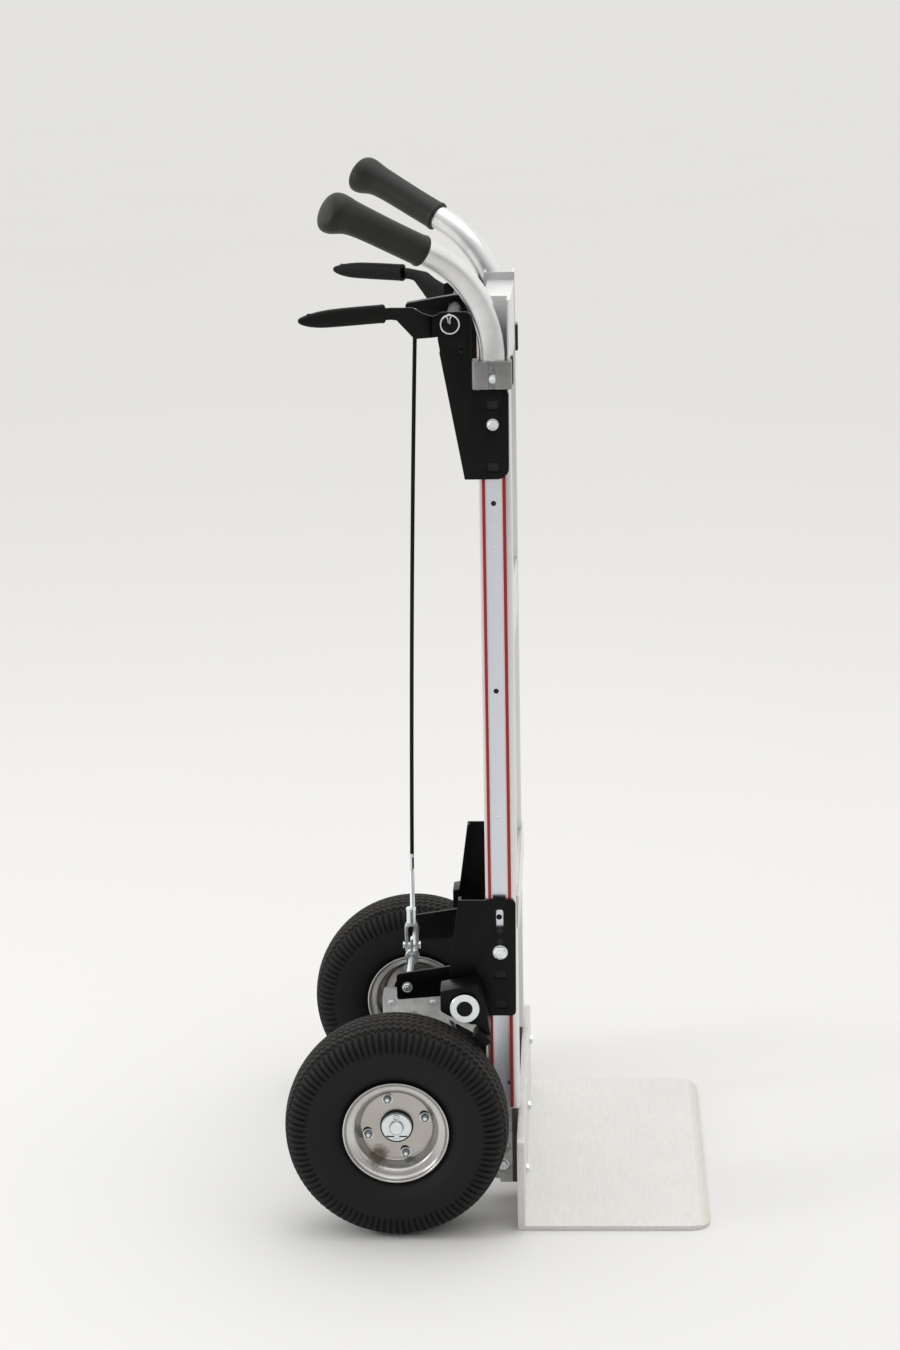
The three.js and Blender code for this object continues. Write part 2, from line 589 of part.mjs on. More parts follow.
// Moulded sleeve over the lever's tongue, with a rounded tip.
function leverGrip({ name, sign }) {
  const { start, end, z, height, width, slack } = LEVER_GRIP;
  const half = height / 2;
  const body = sweptPlate([
    [start, z - half + 1, z + half - 1], [start - 2, z - half, z + half],
    [end + 24, z - half + 0.5, z + half - 0.5], [end + 10, z - half + 3, z + half - 3],
    [end + 3, z - half + 6, z + half - 6], [end, z - 2.5, z + 2.5],
  ], sign, width / 2);
  const slotHalf = TONGUE_HALF + 1;
  const slot = sweptPlate([
    [start + 3, z - slotHalf, z + slotHalf], [end + 9 - slack, z - slotHalf, z + slotHalf],
  ], sign, LEVER.thick / 2 + slack);
  return piece(`${name}_lever_grip`, cut(body, slot), 'gripRubber');
}

// Folded arm on the middle of the lever shaft that pulls the brake rod up.
function centreArm() {
  const { halfWidth, wall, hub: hubRadius, eyeX, eyeZ, pin } = CENTRE_ARM;
  const { x, z } = LEVER_PIVOT;
  const side = outline([
    [-99.3, 1041.5, 3], [-81, 1040.5], [x, z - hubRadius, 9], [x + hubRadius, z - hubRadius, 12],
    [x + hubRadius, z + hubRadius, 12], [x, z + hubRadius, 8], [-99.3, 1056, 3],
  ]);
  const block = slabY(side, -halfWidth, halfWidth, 4);
  const channel = slabY(outline([[-101, 1030], [-66, 1030], [-66, 1056.5], [-101, 1053]]),
    -halfWidth + wall, halfWidth - wall);
  const bore = rodY(LEVER_SHAFT.radius + GAP, -100, 100, x, z, 28);
  const pinHole = rodY(pin + 0.35, -100, 100, eyeX, eyeZ, 16);
  return piece('centre_arm', cut(block, channel, bore, pinHole), 'blackSteel');
}

function rodPin() {
  const reach = CENTRE_ARM.halfWidth + 2;
  return piece('rod_pin', rodY(CENTRE_ARM.pin, -reach, reach, CENTRE_ARM.eyeX, CENTRE_ARM.eyeZ), 'platedSteel');
}

// ---------------------------------------------------------------- pull rod
function rodX0(z) {
  const span = BRAKE_ROD.topZ - TANG.bottom;
  const along = (BRAKE_ROD.topZ - z) / span;
  const lean = CENTRE_ARM.eyeX - (BRAKE_ROD.topZ - z) * BRAKE_ROD.lean;
  return lean - BRAKE_ROD.bow * 4 * Math.max(along, 0) * (1 - Math.max(along, 0));
}

function brakeRod() {
  const { radius, topZ, bottomZ, sides } = BRAKE_ROD;
  const count = 9;
  const points = Array.from({ length: count }, (unused, i) => {
    const z = topZ + (bottomZ - topZ) * (i / (count - 1));
    return new THREE.Vector3(rodX0(z), 0, z);
  });
  const stem = new THREE.ExtrudeGeometry(ringShape(radius, 0, sides), {
    steps: BRAKE_ROD.steps, bevelEnabled: false, extrudePath: new THREE.CatmullRomCurve3(points),
  });
  const { eyeX, eyeZ, pin, slack } = CENTRE_ARM;
  const eye = rodY(pin + slack + 2, -2.2, 2.2, eyeX, eyeZ, 20);
  const eyeHole = rodY(pin + slack, -50, 50, eyeX, eyeZ, 20);
  return piece('brake_rod', cut(join(stem, eye), eyeHole), 'blackSteel');
}

// Threaded sleeve that joins the rod to the clevis and sets the brake's free travel.
function rodEnd() {
  const { radius, top, bottom } = ROD_END;
  const x = rodX0((top + bottom) / 2);
  const sleeve = rodZ(radius, bottom, top, x, 0, 16);
  const bore = rodZ(BRAKE_ROD.radius + 0.5, BRAKE_ROD.bottomZ - 1, top + 1, x, 0, 12);
  return piece('rod_adjuster', cut(sleeve, bore), 'platedSteel');
}

function clevis() {
  const { top, body, radius, pinZ, legX, legWall, depth, foot, pin } = CLEVIS;
  const x = CRANK.rodX;
  const neck = rodZ(radius, body - 2, top, x, 0, 20);
  const fork = boxBetween([x - legX, -depth / 2, pinZ - foot], [x + legX, depth / 2, body]);
  const throat = boxBetween([x - legX + legWall, -depth, pinZ - foot - 1], [x + legX - legWall, depth, body - 6]);
  const pinHole = rodX(pin + GAP, x - 20, x + 20, 0, pinZ);
  return piece('clevis', cut(join(neck, fork), throat, pinHole), 'platedSteel');
}

function clevisPin() {
  const { legX, pin, pinZ } = CLEVIS;
  const reach = legX + 2.6;
  return piece('clevis_pin', rodX(pin, CRANK.rodX - reach, CRANK.rodX + reach, 0, pinZ), 'platedSteel');
}

// Flat link between the clevis pin and the cross rod; its lower eye has working clearance.
function pullTang() {
  const { thick, depth, bottom, top, eyeWall, slack } = TANG;
  const x = CRANK.rodX;
  const blade = boxBetween([x - thick / 2, -depth / 2, CRANK.rodZ], [x + thick / 2, depth / 2, top]);
  const eye = rodY(CROSS_ROD.radius + eyeWall, -depth / 2, depth / 2, x, CRANK.rodZ, 24);
  const eyeHole = rodY(CROSS_ROD.radius + slack, -50, 50, x, CRANK.rodZ, 24);
  const pinHole = rodX(CLEVIS.pin + GAP, x - 20, x + 20, 0, CLEVIS.pinZ);
  const trim = boxBetween([x - 50, -50, bottom - 20], [x + 50, 50, bottom]);
  return piece('pull_link', cut(join(blade, eye), eyeHole, pinHole, trim), 'platedSteel');
}

// ---------------------------------------------------------------- tyre brakes
function lowerBrakeBracket({ name, sign }) {
  const { x, z, radius } = BRAKE_SHAFT;
  const slot = outline([[-0.3, 347, 3], [8.0, 347, 3], [8.0, 370, 3], [-0.3, 370, 3]]);
  const plate = slabY(withHoles(outline([
    [-44, 381.4], [-3.6, 381.4], [-3.6, 385.4], [10.4, 385.4], [10.4, 381.4], [22.6, 381.4, 6],
    [21.4, 239.5, 6], [-46, 239.5, 9], [-57.5, 251, 6], [-57.2, 284],
  ]), circle(x, z, radius + 0.5), slot), sign * (BRACKET_Y - SHEET / 2), sign * (BRACKET_Y + SHEET / 2));
  const lip = slabY(outline([[-57, 287], [-53.8, 287], [-41, 381], [-44.2, 381]]),
    sign * BRACKET_LIP, sign * BRACKET_Y);
  const boltHole = rodY(BRACKET_BOLT.shank + 0.4, 0, sign * 400, RAIL_FACE.x, BRACKET_BOLT.lowerZ, 16);
  const tabs = TAB_POCKET.lower.map((height) => tabPocket(sign, height));
  return piece(`${name}_lower_brake_bracket`, cut(join(plate, lip), boltHole, ...tabs), 'blackSteel');
}

function brakeShaft() {
  const { x, z, radius, reach } = BRAKE_SHAFT;
  return piece('brake_shaft', rodY(radius, -reach, reach, x, z, 20), 'blackSteel');
}

function crankArm({ name, sign }) {
  const { x, z, radius } = BRAKE_SHAFT;
  const { y, thick, rodX: eyeX, rodZ: eyeZ, half, tail } = CRANK;
  const shape = withHoles(outline([
    [tail, eyeZ - half, 4], [x, z - half - 3, 12], [x + 19, z - half, 14], [x + 19, z + half, 14],
    [x, z + half + 3, 8], [tail, eyeZ + half, 4],
  ]), circle(x, z, radius + GAP), circle(eyeX, eyeZ, CROSS_ROD.radius + CROSS_ROD.slack));
  return piece(`${name}_crank_arm`,
    slabY(shape, sign * (y - thick / 2), sign * (y + thick / 2)), 'blackSteel');
}

function crossRod() {
  const { radius, reach } = CROSS_ROD;
  return piece('cross_rod', rodY(radius, -reach, reach, CRANK.rodX, CRANK.rodZ, 20), 'platedSteel');
}

// Folded arm outside the bracket: two cheeks on the shaft joined along the top and the front.
function shoeArm({ name, sign }) {
  const { inner, outer, sheet } = SHOE_ARM;
  const { x, z, radius } = BRAKE_SHAFT;
  const side = [
    [-64.8, 261.5, 3], [-64.8, 286], [-22.5, 294.5, 4], [-11.5, 262], [-7.5, 232.5, 1],
    [-10.5, 232.5], [-17, 238.8], [-25, 246], [-38, 247, 6],
  ];
  const block = slabY(outline(side), sign * inner, sign * outer, 3);
  const inside = slabY(outline([
    [-80, 220], [-80, 280], [-24.6, 290.8], [-14.7, 261.5], [-11.8, 238.5], [-17.5, 243],
    [-27, 250], [-30, 220],
  ]), sign * (inner + sheet), sign * (outer - sheet), 3);
  const bore = rodY(radius + GAP, 0, sign * 400, x, z, 28);
  return piece(`${name}_shoe_arm`, cut(block, inside, bore), 'blackSteel');
}

// Rubber pad curved to the tyre, held under the shoe arm.
function brakeShoe({ name, sign }) {
  const { faceGap, thick, arc, middle, inner, outer } = SHOE;
  const near = TYRE.radius + faceGap;
  const far = near + thick;
  const shape = new THREE.Shape();
  const [from, to] = [rad(middle - arc / 2), rad(middle + arc / 2)];
  shape.absarc(WHEEL.x, WHEEL.z, far, from, to, false);
  shape.absarc(WHEEL.x, WHEEL.z, near, to, from, true);
  shape.closePath();
  return piece(`${name}_brake_shoe`, slabY(shape, sign * inner, sign * outer), 'tyreRubber');
}

function shaftWasher({ name, sign }) {
  const { bore, outer, from, thickness } = SHAFT_WASHER;
  const profile = [[bore, from], [outer, from], [outer, from + thickness], [bore, from + thickness]];
  const mesh = piece(`${name}_shaft_washer`, turned(profile, sign, 20), 'platedSteel');
  mesh.position.set(BRAKE_SHAFT.x, 0, BRAKE_SHAFT.z);
  return mesh;
}

// ---------------------------------------------------------------- the hand truck
const frame = assembly(
  ...SIDES.map(rail), crossBrace(BRACES[0]), crossBrace(BRACES[1]), lowerCrossBrace(BRACES[2]),
  nosePlate(), ...SIDES.map(axleBracket), axle(),
  ...SIDES.map(handleTube), ...SIDES.map(handleGrip), ...SIDES.map(handleCollar),
  ...SIDES.map(upperBrakeBracket), ...SIDES.map(lowerBrakeBracket),
  ...SIDES.map(({ name, sign }) => bracketBolt(
    `${name}_upper_bracket_bolt`, sign, BRACKET_BOLT.upperZ, BRACKET_BOLT.upperHead)),
  ...SIDES.map(({ name, sign }) => bracketBolt(
    `${name}_lower_bracket_bolt`, sign, BRACKET_BOLT.lowerZ, BRACKET_BOLT.lowerHead)));

const levers = assembly(
  leverShaft(), centreArm(), rodPin(), ...SIDES.map(brakeLever), ...SIDES.map(leverGrip));

const pullRod = assembly(brakeRod(), rodEnd(), clevis(), clevisPin(), pullTang());

const brake = assembly(
  brakeShaft(), crossRod(), ...SIDES.map(crankArm), ...SIDES.map(shoeArm),
  ...SIDES.map(brakeShoe), ...SIDES.map(shaftWasher));

const handTruck = assembly(frame, levers, pullRod, brake, ...SIDES.map(wheel));

export default handTruck;
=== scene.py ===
"""Looks of an aluminium two-wheel hand truck: finishes, turned and swept pieces, tread and fasteners."""

import json
import math

import bmesh
import bpy
from bpy.props import FloatProperty, FloatVectorProperty, IntProperty, PointerProperty
from mathutils import Matrix, Vector


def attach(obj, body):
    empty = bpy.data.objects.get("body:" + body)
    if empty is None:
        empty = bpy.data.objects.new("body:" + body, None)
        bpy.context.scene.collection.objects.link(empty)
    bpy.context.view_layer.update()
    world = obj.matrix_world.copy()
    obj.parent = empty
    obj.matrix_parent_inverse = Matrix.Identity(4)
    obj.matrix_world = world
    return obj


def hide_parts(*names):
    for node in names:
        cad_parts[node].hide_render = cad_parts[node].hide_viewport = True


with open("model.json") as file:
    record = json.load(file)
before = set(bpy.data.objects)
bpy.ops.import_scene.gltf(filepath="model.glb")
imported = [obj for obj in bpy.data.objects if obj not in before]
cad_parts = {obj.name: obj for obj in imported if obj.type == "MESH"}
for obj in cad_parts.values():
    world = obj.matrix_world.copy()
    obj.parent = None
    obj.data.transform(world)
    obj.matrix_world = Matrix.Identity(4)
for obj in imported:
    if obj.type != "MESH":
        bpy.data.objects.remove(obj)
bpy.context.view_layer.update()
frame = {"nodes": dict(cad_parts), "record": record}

bl_info = {
    "name": "Hand truck looks",
    "version": (1, 0, 0),
    "blender": (4, 5, 0),
    "location": "View3D > Sidebar > Hand truck",
    "description": "Builds the visible pieces and finishes of a two-wheel hand truck",
    "category": "Object",
}

MM = 0.001
BODY_OF = {
    node: body
    for body, nodes in frame["record"]["behaviour"]["bodies"].items()
    for node in nodes
}
SLOT_OF = {part["node"]: part["material_slot"] for part in frame["record"]["subparts"]}
SIDES = (("right", -1), ("left", 1))

WHEEL_X, WHEEL_Y, WHEEL_Z = -117, 216, 130
RAIL_MIDDLE = 4
LEVER_SHAFT_X, LEVER_SHAFT_Z = -41.8, 1051.4
BRAKE_SHAFT_X, BRAKE_SHAFT_Z = -36.6, 267
CROSS_ROD_X, CROSS_ROD_Z = -108.5, 257


# ------------------------------------------------------------------ node graphs
class Wire:
    """One output of a node, usable in arithmetic."""

    def __init__(self, graph, socket):
        self.graph = graph
        self.socket = socket

    def math(self, operation, *others, clamp=False):
        values = {0: self}
        values.update({i + 1: other for i, other in enumerate(others)})
        settings = {"operation": operation, "use_clamp": clamp}
        return self.graph.add("ShaderNodeMath", settings, values)

    def __add__(self, other):
        return self.math("ADD", other)

    __radd__ = __add__

    def __sub__(self, other):
        return self.math("SUBTRACT", other)

    def __rsub__(self, other):
        return (self * -1) + other

    def __mul__(self, other):
        return self.math("MULTIPLY", other)

    __rmul__ = __mul__

    def __truediv__(self, other):
        return self.math("DIVIDE", other)

    def above(self, low, high):
        """Rises smoothly from 0 at low to 1 at high."""
        return ((self - low) / (high - low)).math("SMOOTH_MIN", 1.0, 0.1, clamp=True)

    def inside(self, low, high, soft):
        """1 between low and high, falling off over the soft distance."""
        return self.above(low - soft, low) * (1 - self.above(high, high + soft))


class Graph:
    """Adds nodes to one tree and links them."""

    def __init__(self, tree):
        self.tree = tree

    def add(self, kind, settings=None, inputs=None, output=0):
        node = self.tree.nodes.new(kind)
        for name, value in (settings or {}).items():
            if name == "stops":
                self._set_stops(node.color_ramp, value)
            else:
                setattr(node, name, value)
        for key, value in (inputs or {}).items():
            if isinstance(value, Wire):
                self.tree.links.new(value.socket, node.inputs[key])
            else:
                node.inputs[key].default_value = value
        return Wire(self, node.outputs[output])

    @staticmethod
    def _set_stops(ramp, stops):
        while len(ramp.elements) < len(stops):
            ramp.elements.new(0.5)
        for element, (position, colour) in zip(ramp.elements, stops):
            element.position = position
            element.color = (*colour, 1.0)


class Finish(Graph):
    """A procedural material with one Principled shader, patterned in Object coordinates."""

    def __init__(self, name, **constants):
        self.material = bpy.data.materials.new(name)
        self.material.use_nodes = True
        super().__init__(self.material.node_tree)
        self.shader = self.tree.nodes["Principled BSDF"]
        for key, value in constants.items():
            self.shader.inputs[key.replace("_", " ").title().replace("Ior", "IOR")].default_value = value
        self.place = self.add("ShaderNodeTexCoord", output="Object")
        split = self.add("ShaderNodeSeparateXYZ", inputs={0: self.place}).socket.node
        self.x, self.y, self.z = (Wire(self, split.outputs[axis]) for axis in "XYZ")

    def noise(self, scale, stretch=(1, 1, 1), detail=3.0, rough=0.55, where=None):
        mapped = self.add(
            "ShaderNodeMapping", {"vector_type": "POINT"},
            {"Vector": where or self.place, "Scale": stretch},
        )
        return self.add(
            "ShaderNodeTexNoise", {"noise_dimensions": "3D"},
            {"Vector": mapped, "Scale": scale, "Detail": detail, "Roughness": rough},
        )

    def cells(self, scale, randomness=1.0):
        return self.add(
            "ShaderNodeTexVoronoi", {"feature": "F1"},
            {"Vector": self.place, "Scale": scale, "Randomness": randomness},
        )

    def scratches(self, scale, turn, stretch=60.0, width=0.02):
        """Fine straight marks that run at one angle in the X-Y plane."""
        mapped = self.add(
            "ShaderNodeMapping", {"vector_type": "POINT"},
            {"Vector": self.place, "Rotation": (0, 0, math.radians(turn)), "Scale": (stretch, 1, 1)},
        )
        grain = self.add(
            "ShaderNodeTexNoise", {"noise_dimensions": "3D"},
            {"Vector": mapped, "Scale": scale, "Detail": 2.0, "Roughness": 0.5},
        )
        return (grain - 0.5).math("ABSOLUTE").inside(-1, width * 0.3, width)

    def mix(self, share, first, second):
        """Blends two colours; each is a tuple or a wire."""
        inputs = {"Factor": share}
        for key, colour in (("A", first), ("B", second)):
            inputs[key] = colour
        node = self.tree.nodes.new("ShaderNodeMix")
        node.data_type = "RGBA"
        for key, index in (("Factor", 0), ("A", 6), ("B", 7)):
            value = inputs[key]
            if isinstance(value, Wire):
                self.tree.links.new(value.socket, node.inputs[index])
            elif index:
                node.inputs[index].default_value = (*value, 1.0)
            else:
                node.inputs[index].default_value = value
        return Wire(self, node.outputs[2])

    def coloured(self, colour):
        self.tree.links.new(colour.socket, self.shader.inputs["Base Color"])
        return self

    def roughened(self, amount):
        self.tree.links.new(amount.socket, self.shader.inputs["Roughness"])
        return self

    def metallic(self, amount):
        self.tree.links.new(amount.socket, self.shader.inputs["Metallic"])
        return self

    def bumped(self, height, distance, strength=1.0):
        bump = self.add(
            "ShaderNodeBump", inputs={"Height": height, "Distance": distance, "Strength": strength}
        )
        self.tree.links.new(bump.socket, self.shader.inputs["Normal"])
        return self


# ------------------------------------------------------------------ finishes
def shade(colour, factor):
    return tuple(channel * factor for channel in colour)


def extruded_aluminium(colours):
    """Drawn rail metal: lengthwise die lines, a painted blue-grey reflection over the groove and a painted pink
    reflection beside the stripes.
    """
    finish = Finish("extruded_aluminium", metallic=0.92)
    lines = finish.noise(26, (22, 22, 0.35), 4)
    cloud = finish.noise(14, (1, 1, 0.4), 3)
    base = finish.mix(cloud.above(0.3, 0.72), shade(colours.aluminium, 0.9), colours.aluminium)
    reach = finish.y.math("ABSOLUTE")
    # Painted reflection: the recessed middle of each outer face is tinted light blue-grey for the reflection it
    # shows.
    groove = finish.x.inside(-5.4 * MM, 13.4 * MM, 0.4 * MM) * reach.inside(150 * MM, 152.2 * MM, 0.2 * MM)
    base = finish.mix(groove * 0.75, base, (0.72, 0.77, 0.84))
    # Painted reflection: a pink tint on the metal beside each red stripe, for the red reflected in it.
    by_stripe = finish.x.inside(-10.4 * MM, -4.6 * MM, 1.2 * MM) + finish.x.inside(12.6 * MM, 18.8 * MM, 1.2 * MM)
    stripe_reflection = by_stripe * reach.above(150.8 * MM, 151.4 * MM) * finish.z.above(0.12, 0.13)
    base = finish.mix(stripe_reflection * 0.42, base, (0.80, 0.42, 0.40))
    specks = finish.cells(420).inside(-1, 0.1, 0.05) * cloud.above(0.5, 0.7)
    base = finish.mix(specks * 0.35, base, shade(colours.aluminium, 0.45))
    finish.coloured(base)
    finish.roughened(0.27 + lines * 0.16 + specks * 0.1)
    return finish.bumped(lines + cloud * 0.4, 0.00006).material


def cast_aluminium(colours, name="cast_aluminium", depth=1.0):
    """Tumbled casting with a pebbled skin, pores, grime towards the floor and a painted shade strip on the front of
    the leg.
    """
    finish = Finish(name, metallic=0.8)
    skin = finish.noise(900, detail=2)
    cloud = finish.noise(45, detail=4)
    grime = finish.noise(70, detail=5, rough=0.7).above(0.45, 0.7) * (1 - finish.z.above(0.07, 0.16))
    base = finish.mix(
        cloud.above(0.3, 0.7), shade(colours.casting, 0.8 * depth), shade(colours.casting, 1.15 * depth)
    )
    base = finish.mix(grime, base, (0.10, 0.075, 0.055))
    # Painted shade: the stepped front of the bracket leg, low down, is darkened to brown-black for the shadow it lies
    # in, tinted brown like the rusty casting round it.
    foot = finish.x.above(14.4 * MM, 15.2 * MM) * (1 - finish.z.above(0.121, 0.123))
    base = finish.mix(foot * 0.9, base, (0.045, 0.030, 0.020))
    finish.coloured(base)
    finish.metallic(0.85 - grime * 0.6 - foot * 0.5)
    finish.roughened(0.42 + cloud * 0.2 + grime * 0.2)
    return finish.bumped(skin + cloud * 0.8, 0.00012).material


def collar_casting(colours):
    """The darker casting of the handle collars; the shadow inside their clamping groove is painted shade on a
    separate dark sheet.
    """
    return cast_aluminium(colours, "collar_casting", 0.42)


def polished_tube(colours):
    """Bright drawn tube with faint handling marks."""
    finish = Finish("polished_tube", metallic=0.96)
    haze = finish.noise(24, detail=4, rough=0.6)
    fine = finish.noise(260, (1, 1, 0.25), 2)
    rub = finish.noise(80, (1, 1, 1), 5, 0.7).above(0.58, 0.75)
    finish.coloured(finish.mix(haze.above(0.35, 0.7), shade(colours.aluminium, 0.78), shade(colours.aluminium, 0.95)))
    finish.roughened(0.24 + haze * 0.14 + rub * 0.12)
    return finish.bumped(fine + rub, 0.00003).material


def scuffed_plate(colours):
    """Mill-finish blade: cross-hatched mottling, drag marks and small dings."""
    finish = Finish("scuffed_plate", metallic=0.72)
    warp = finish.noise(55, (1, 9, 1), 4, 0.6)
    weft = finish.noise(55, (9, 1, 1), 4, 0.6)
    cloud = finish.noise(9, detail=4)
    marks = finish.scratches(26, 12) + finish.scratches(21, 74) + finish.scratches(17, -41)
    dings = finish.cells(75).inside(-1, 0.045, 0.02) * cloud.above(0.48, 0.6)
    tone = (warp * 0.5 + weft * 0.5).above(0.36, 0.66)
    base = finish.mix(tone, shade(colours.plate, 0.9), colours.plate)
    base = finish.mix(cloud.above(0.35, 0.75) * 0.35, base, shade(colours.plate, 0.86))
    base = finish.mix(marks * 0.16, base, shade(colours.plate, 0.6))
    base = finish.mix(dings * 0.55, base, shade(colours.plate, 0.42))
    edge = finish.z.inside(-0.001, 0.0052, 0.0002) * finish.x.above(0.232, 0.246)
    base = finish.mix(edge * 0.35, base, (0.46, 0.42, 0.34))
    finish.coloured(base)
    finish.roughened(0.47 + tone * 0.12 + marks * 0.05)
    return finish.bumped(warp + weft - marks * 0.5 - dings, 0.00007).material


def zinc_plate(colours):
    """Bright zinc with a passivated tint and fine crystals."""
    finish = Finish("zinc_plate", metallic=0.95)
    cloud = finish.noise(160, detail=3)
    grain = finish.noise(1500, detail=2)
    finish.coloured(finish.mix(cloud.above(0.35, 0.75) * 0.5, colours.zinc, (0.74, 0.76, 0.70)))
    finish.roughened(0.24 + cloud * 0.12)
    return finish.bumped(grain, 0.000006).material


def dull_zinc(colours):
    """Darkened zinc: on the rim nuts it gives the dark ring round each stud, partly painted shade; as the sheet in
    each collar groove it is painted shade.
    """
    finish = Finish("dull_zinc", metallic=0.8)
    cloud = finish.noise(220, detail=3)
    finish.coloured(finish.mix(cloud.above(0.3, 0.7), shade(colours.zinc, 0.2), shade(colours.zinc, 0.42)))
    finish.roughened(0.4 + cloud * 0.2)
    return finish.bumped(finish.noise(1200, detail=2), 0.00002).material


def pressed_steel(colours):
    """Satin wheel pressing: brushed rings, a warm centre and a storage stain."""
    finish = Finish("pressed_steel", metallic=0.95)
    away_x = finish.x - WHEEL_X * MM
    away_z = finish.z - WHEEL_Z * MM
    radius = (away_x * away_x + away_z * away_z).math("SQRT")
    rings = finish.noise(900, detail=2, where=finish.add("ShaderNodeCombineXYZ", inputs={"X": radius, "Y": finish.y}))
    cloud = finish.noise(30, detail=3)
    base = finish.mix(radius.above(0.040, 0.046), (0.50, 0.475, 0.445), (0.66, 0.65, 0.63))
    base = finish.mix(cloud.above(0.4, 0.7) * 0.4, base, (0.42, 0.40, 0.37))
    spot_x = (away_x + 0.022) * 60
    spot_z = (away_z + 0.036) * 60
    ragged = (spot_x * spot_x + spot_z * spot_z).math("SQRT") + (finish.noise(260, detail=4) - 0.5) * 1.1
    stain = 1 - ragged.above(0.35, 0.85)
    base = finish.mix(stain * 0.75, base, (0.12, 0.085, 0.045))
    finish.coloured(base)
    finish.roughened(0.24 + rings * 0.12 + cloud * 0.06 + stain * 0.25)
    return finish.bumped(rings, 0.00003).material


def powder_coat(colours):
    """Satin black coat with orange peel and a few rubbed places."""
    finish = Finish("powder_coat", specular_ior_level=0.16)
    peel = finish.noise(620, detail=2)
    cloud = finish.noise(30, detail=3)
    dust = finish.noise(110, detail=5, rough=0.75).above(0.62, 0.8)
    base = finish.mix(cloud, shade(colours.black, 0.8), shade(colours.black, 1.3))
    finish.coloured(finish.mix(dust * 0.25, base, (0.05, 0.05, 0.048)))
    finish.roughened(0.3 + cloud * 0.12 + dust * 0.12)
    return finish.bumped(peel, 0.00005).material


def tyre_rubber(colours):
    """Moulded tyre: matt, dusty on the tread, faint rings on the wall."""
    finish = Finish("tyre_rubber", specular_ior_level=0.22)
    away_x = finish.x - WHEEL_X * MM
    away_z = finish.z - WHEEL_Z * MM
    radius = (away_x * away_x + away_z * away_z).math("SQRT")
    cloud = finish.noise(24, detail=4)
    fine = finish.noise(1300, detail=3)
    rings = finish.noise(520, detail=2, where=finish.add("ShaderNodeCombineXYZ", inputs={"X": radius}))
    dust = radius.above(0.118, 0.127) * finish.noise(60, detail=4).above(0.35, 0.65)
    base = finish.mix(cloud, shade(colours.rubber, 0.8), shade(colours.rubber, 1.25))
    base = finish.mix(dust * 0.4, base, (0.062, 0.052, 0.042))
    finish.coloured(base)
    finish.roughened(0.56 + cloud * 0.14 + dust * 0.15)
    return finish.bumped(fine * 0.5 + rings, 0.00008).material


def grip_rubber(colours, name="grip_rubber", depth=1.0):
    """Soft moulded rubber with a fine stipple and worn, slightly greyer patches."""
    finish = Finish(name, specular_ior_level=0.3 * depth)
    stipple = finish.noise(1500, detail=2)
    cloud = finish.noise(26, detail=4)
    wear = finish.noise(60, detail=5, rough=0.7).above(0.5, 0.75)
    base = finish.mix(cloud, shade(colours.grip, 0.8 * depth), shade(colours.grip, 1.25 * depth))
    finish.coloured(finish.mix(wear * 0.35, base, shade(colours.grip, 2.1 * depth)))
    finish.roughened(0.42 + cloud * 0.16)
    return finish.bumped(stipple + cloud * 2, 0.00006).material


def lever_rubber(colours):
    """The same rubber, darker, as on the lever sleeves and brake shoes."""
    return grip_rubber(colours, "lever_rubber", 0.45)


def stripe_vinyl(colours):
    """Deep red inlay with a slightly uneven sheen."""
    finish = Finish("stripe_vinyl", specular_ior_level=0.5)
    cloud = finish.noise(20, (1, 1, 0.3), 3)
    finish.coloured(finish.mix(cloud, shade(colours.stripe, 0.82), shade(colours.stripe, 1.15)))
    finish.roughened(0.36 + cloud * 0.1)
    return finish.bumped(finish.noise(400, detail=2), 0.00002).material


def dark_recess(colours):
    """Painted shade: the dark inside of a hole, slot or pocket, laid as a thin dark disc or sheet on the surface."""
    finish = Finish("dark_recess")
    cloud = finish.noise(300, detail=2)
    finish.coloured(finish.mix(cloud, (0.004, 0.004, 0.004), (0.012, 0.012, 0.012)))
    return finish.roughened(0.7 + cloud * 0.2).material


FINISHES = {
    "extrusion": extruded_aluminium,
    "casting": cast_aluminium,
    "tube": polished_tube,
    "nose": scuffed_plate,
    "plated": zinc_plate,
    "pressing": pressed_steel,
    "black_steel": powder_coat,
    "tyre": tyre_rubber,
    "grip": grip_rubber,
    "sleeve": lever_rubber,
    "shoe": lever_rubber,
    "nut": dull_zinc,
    "collar": collar_casting,
    "stripe": stripe_vinyl,
    "recess": dark_recess,
}
_made = {}


def finish_named(name):
    """The material of a finish, made the first time it is asked for."""
    maker = FINISHES[name]
    if maker not in _made:
        _made[maker] = maker(bpy.context.scene.truck_colours)
    return _made[maker]


# ------------------------------------------------------------------ mesh helpers
def tidy_mesh(mesh, sharp_degrees=32):
    mesh.polygons.foreach_set("use_smooth", [True] * len(mesh.polygons))
    mesh.set_sharp_from_angle(angle=math.radians(sharp_degrees))
    mesh.update()
    return mesh


def closed_mesh(name, vertices, faces, sharp_degrees=32):
    """A mesh whose doubles are merged and whose faces point outwards."""
    mesh = bpy.data.meshes.new(name)
    shell = bmesh.new()
    points = [shell.verts.new(vertex) for vertex in vertices]
    for face in faces:
        shell.faces.new([points[i] for i in face])
    bmesh.ops.remove_doubles(shell, verts=shell.verts, dist=1e-6)
    bmesh.ops.recalc_face_normals(shell, faces=shell.faces)
    shell.to_mesh(mesh)
    shell.free()
    return tidy_mesh(mesh, sharp_degrees)


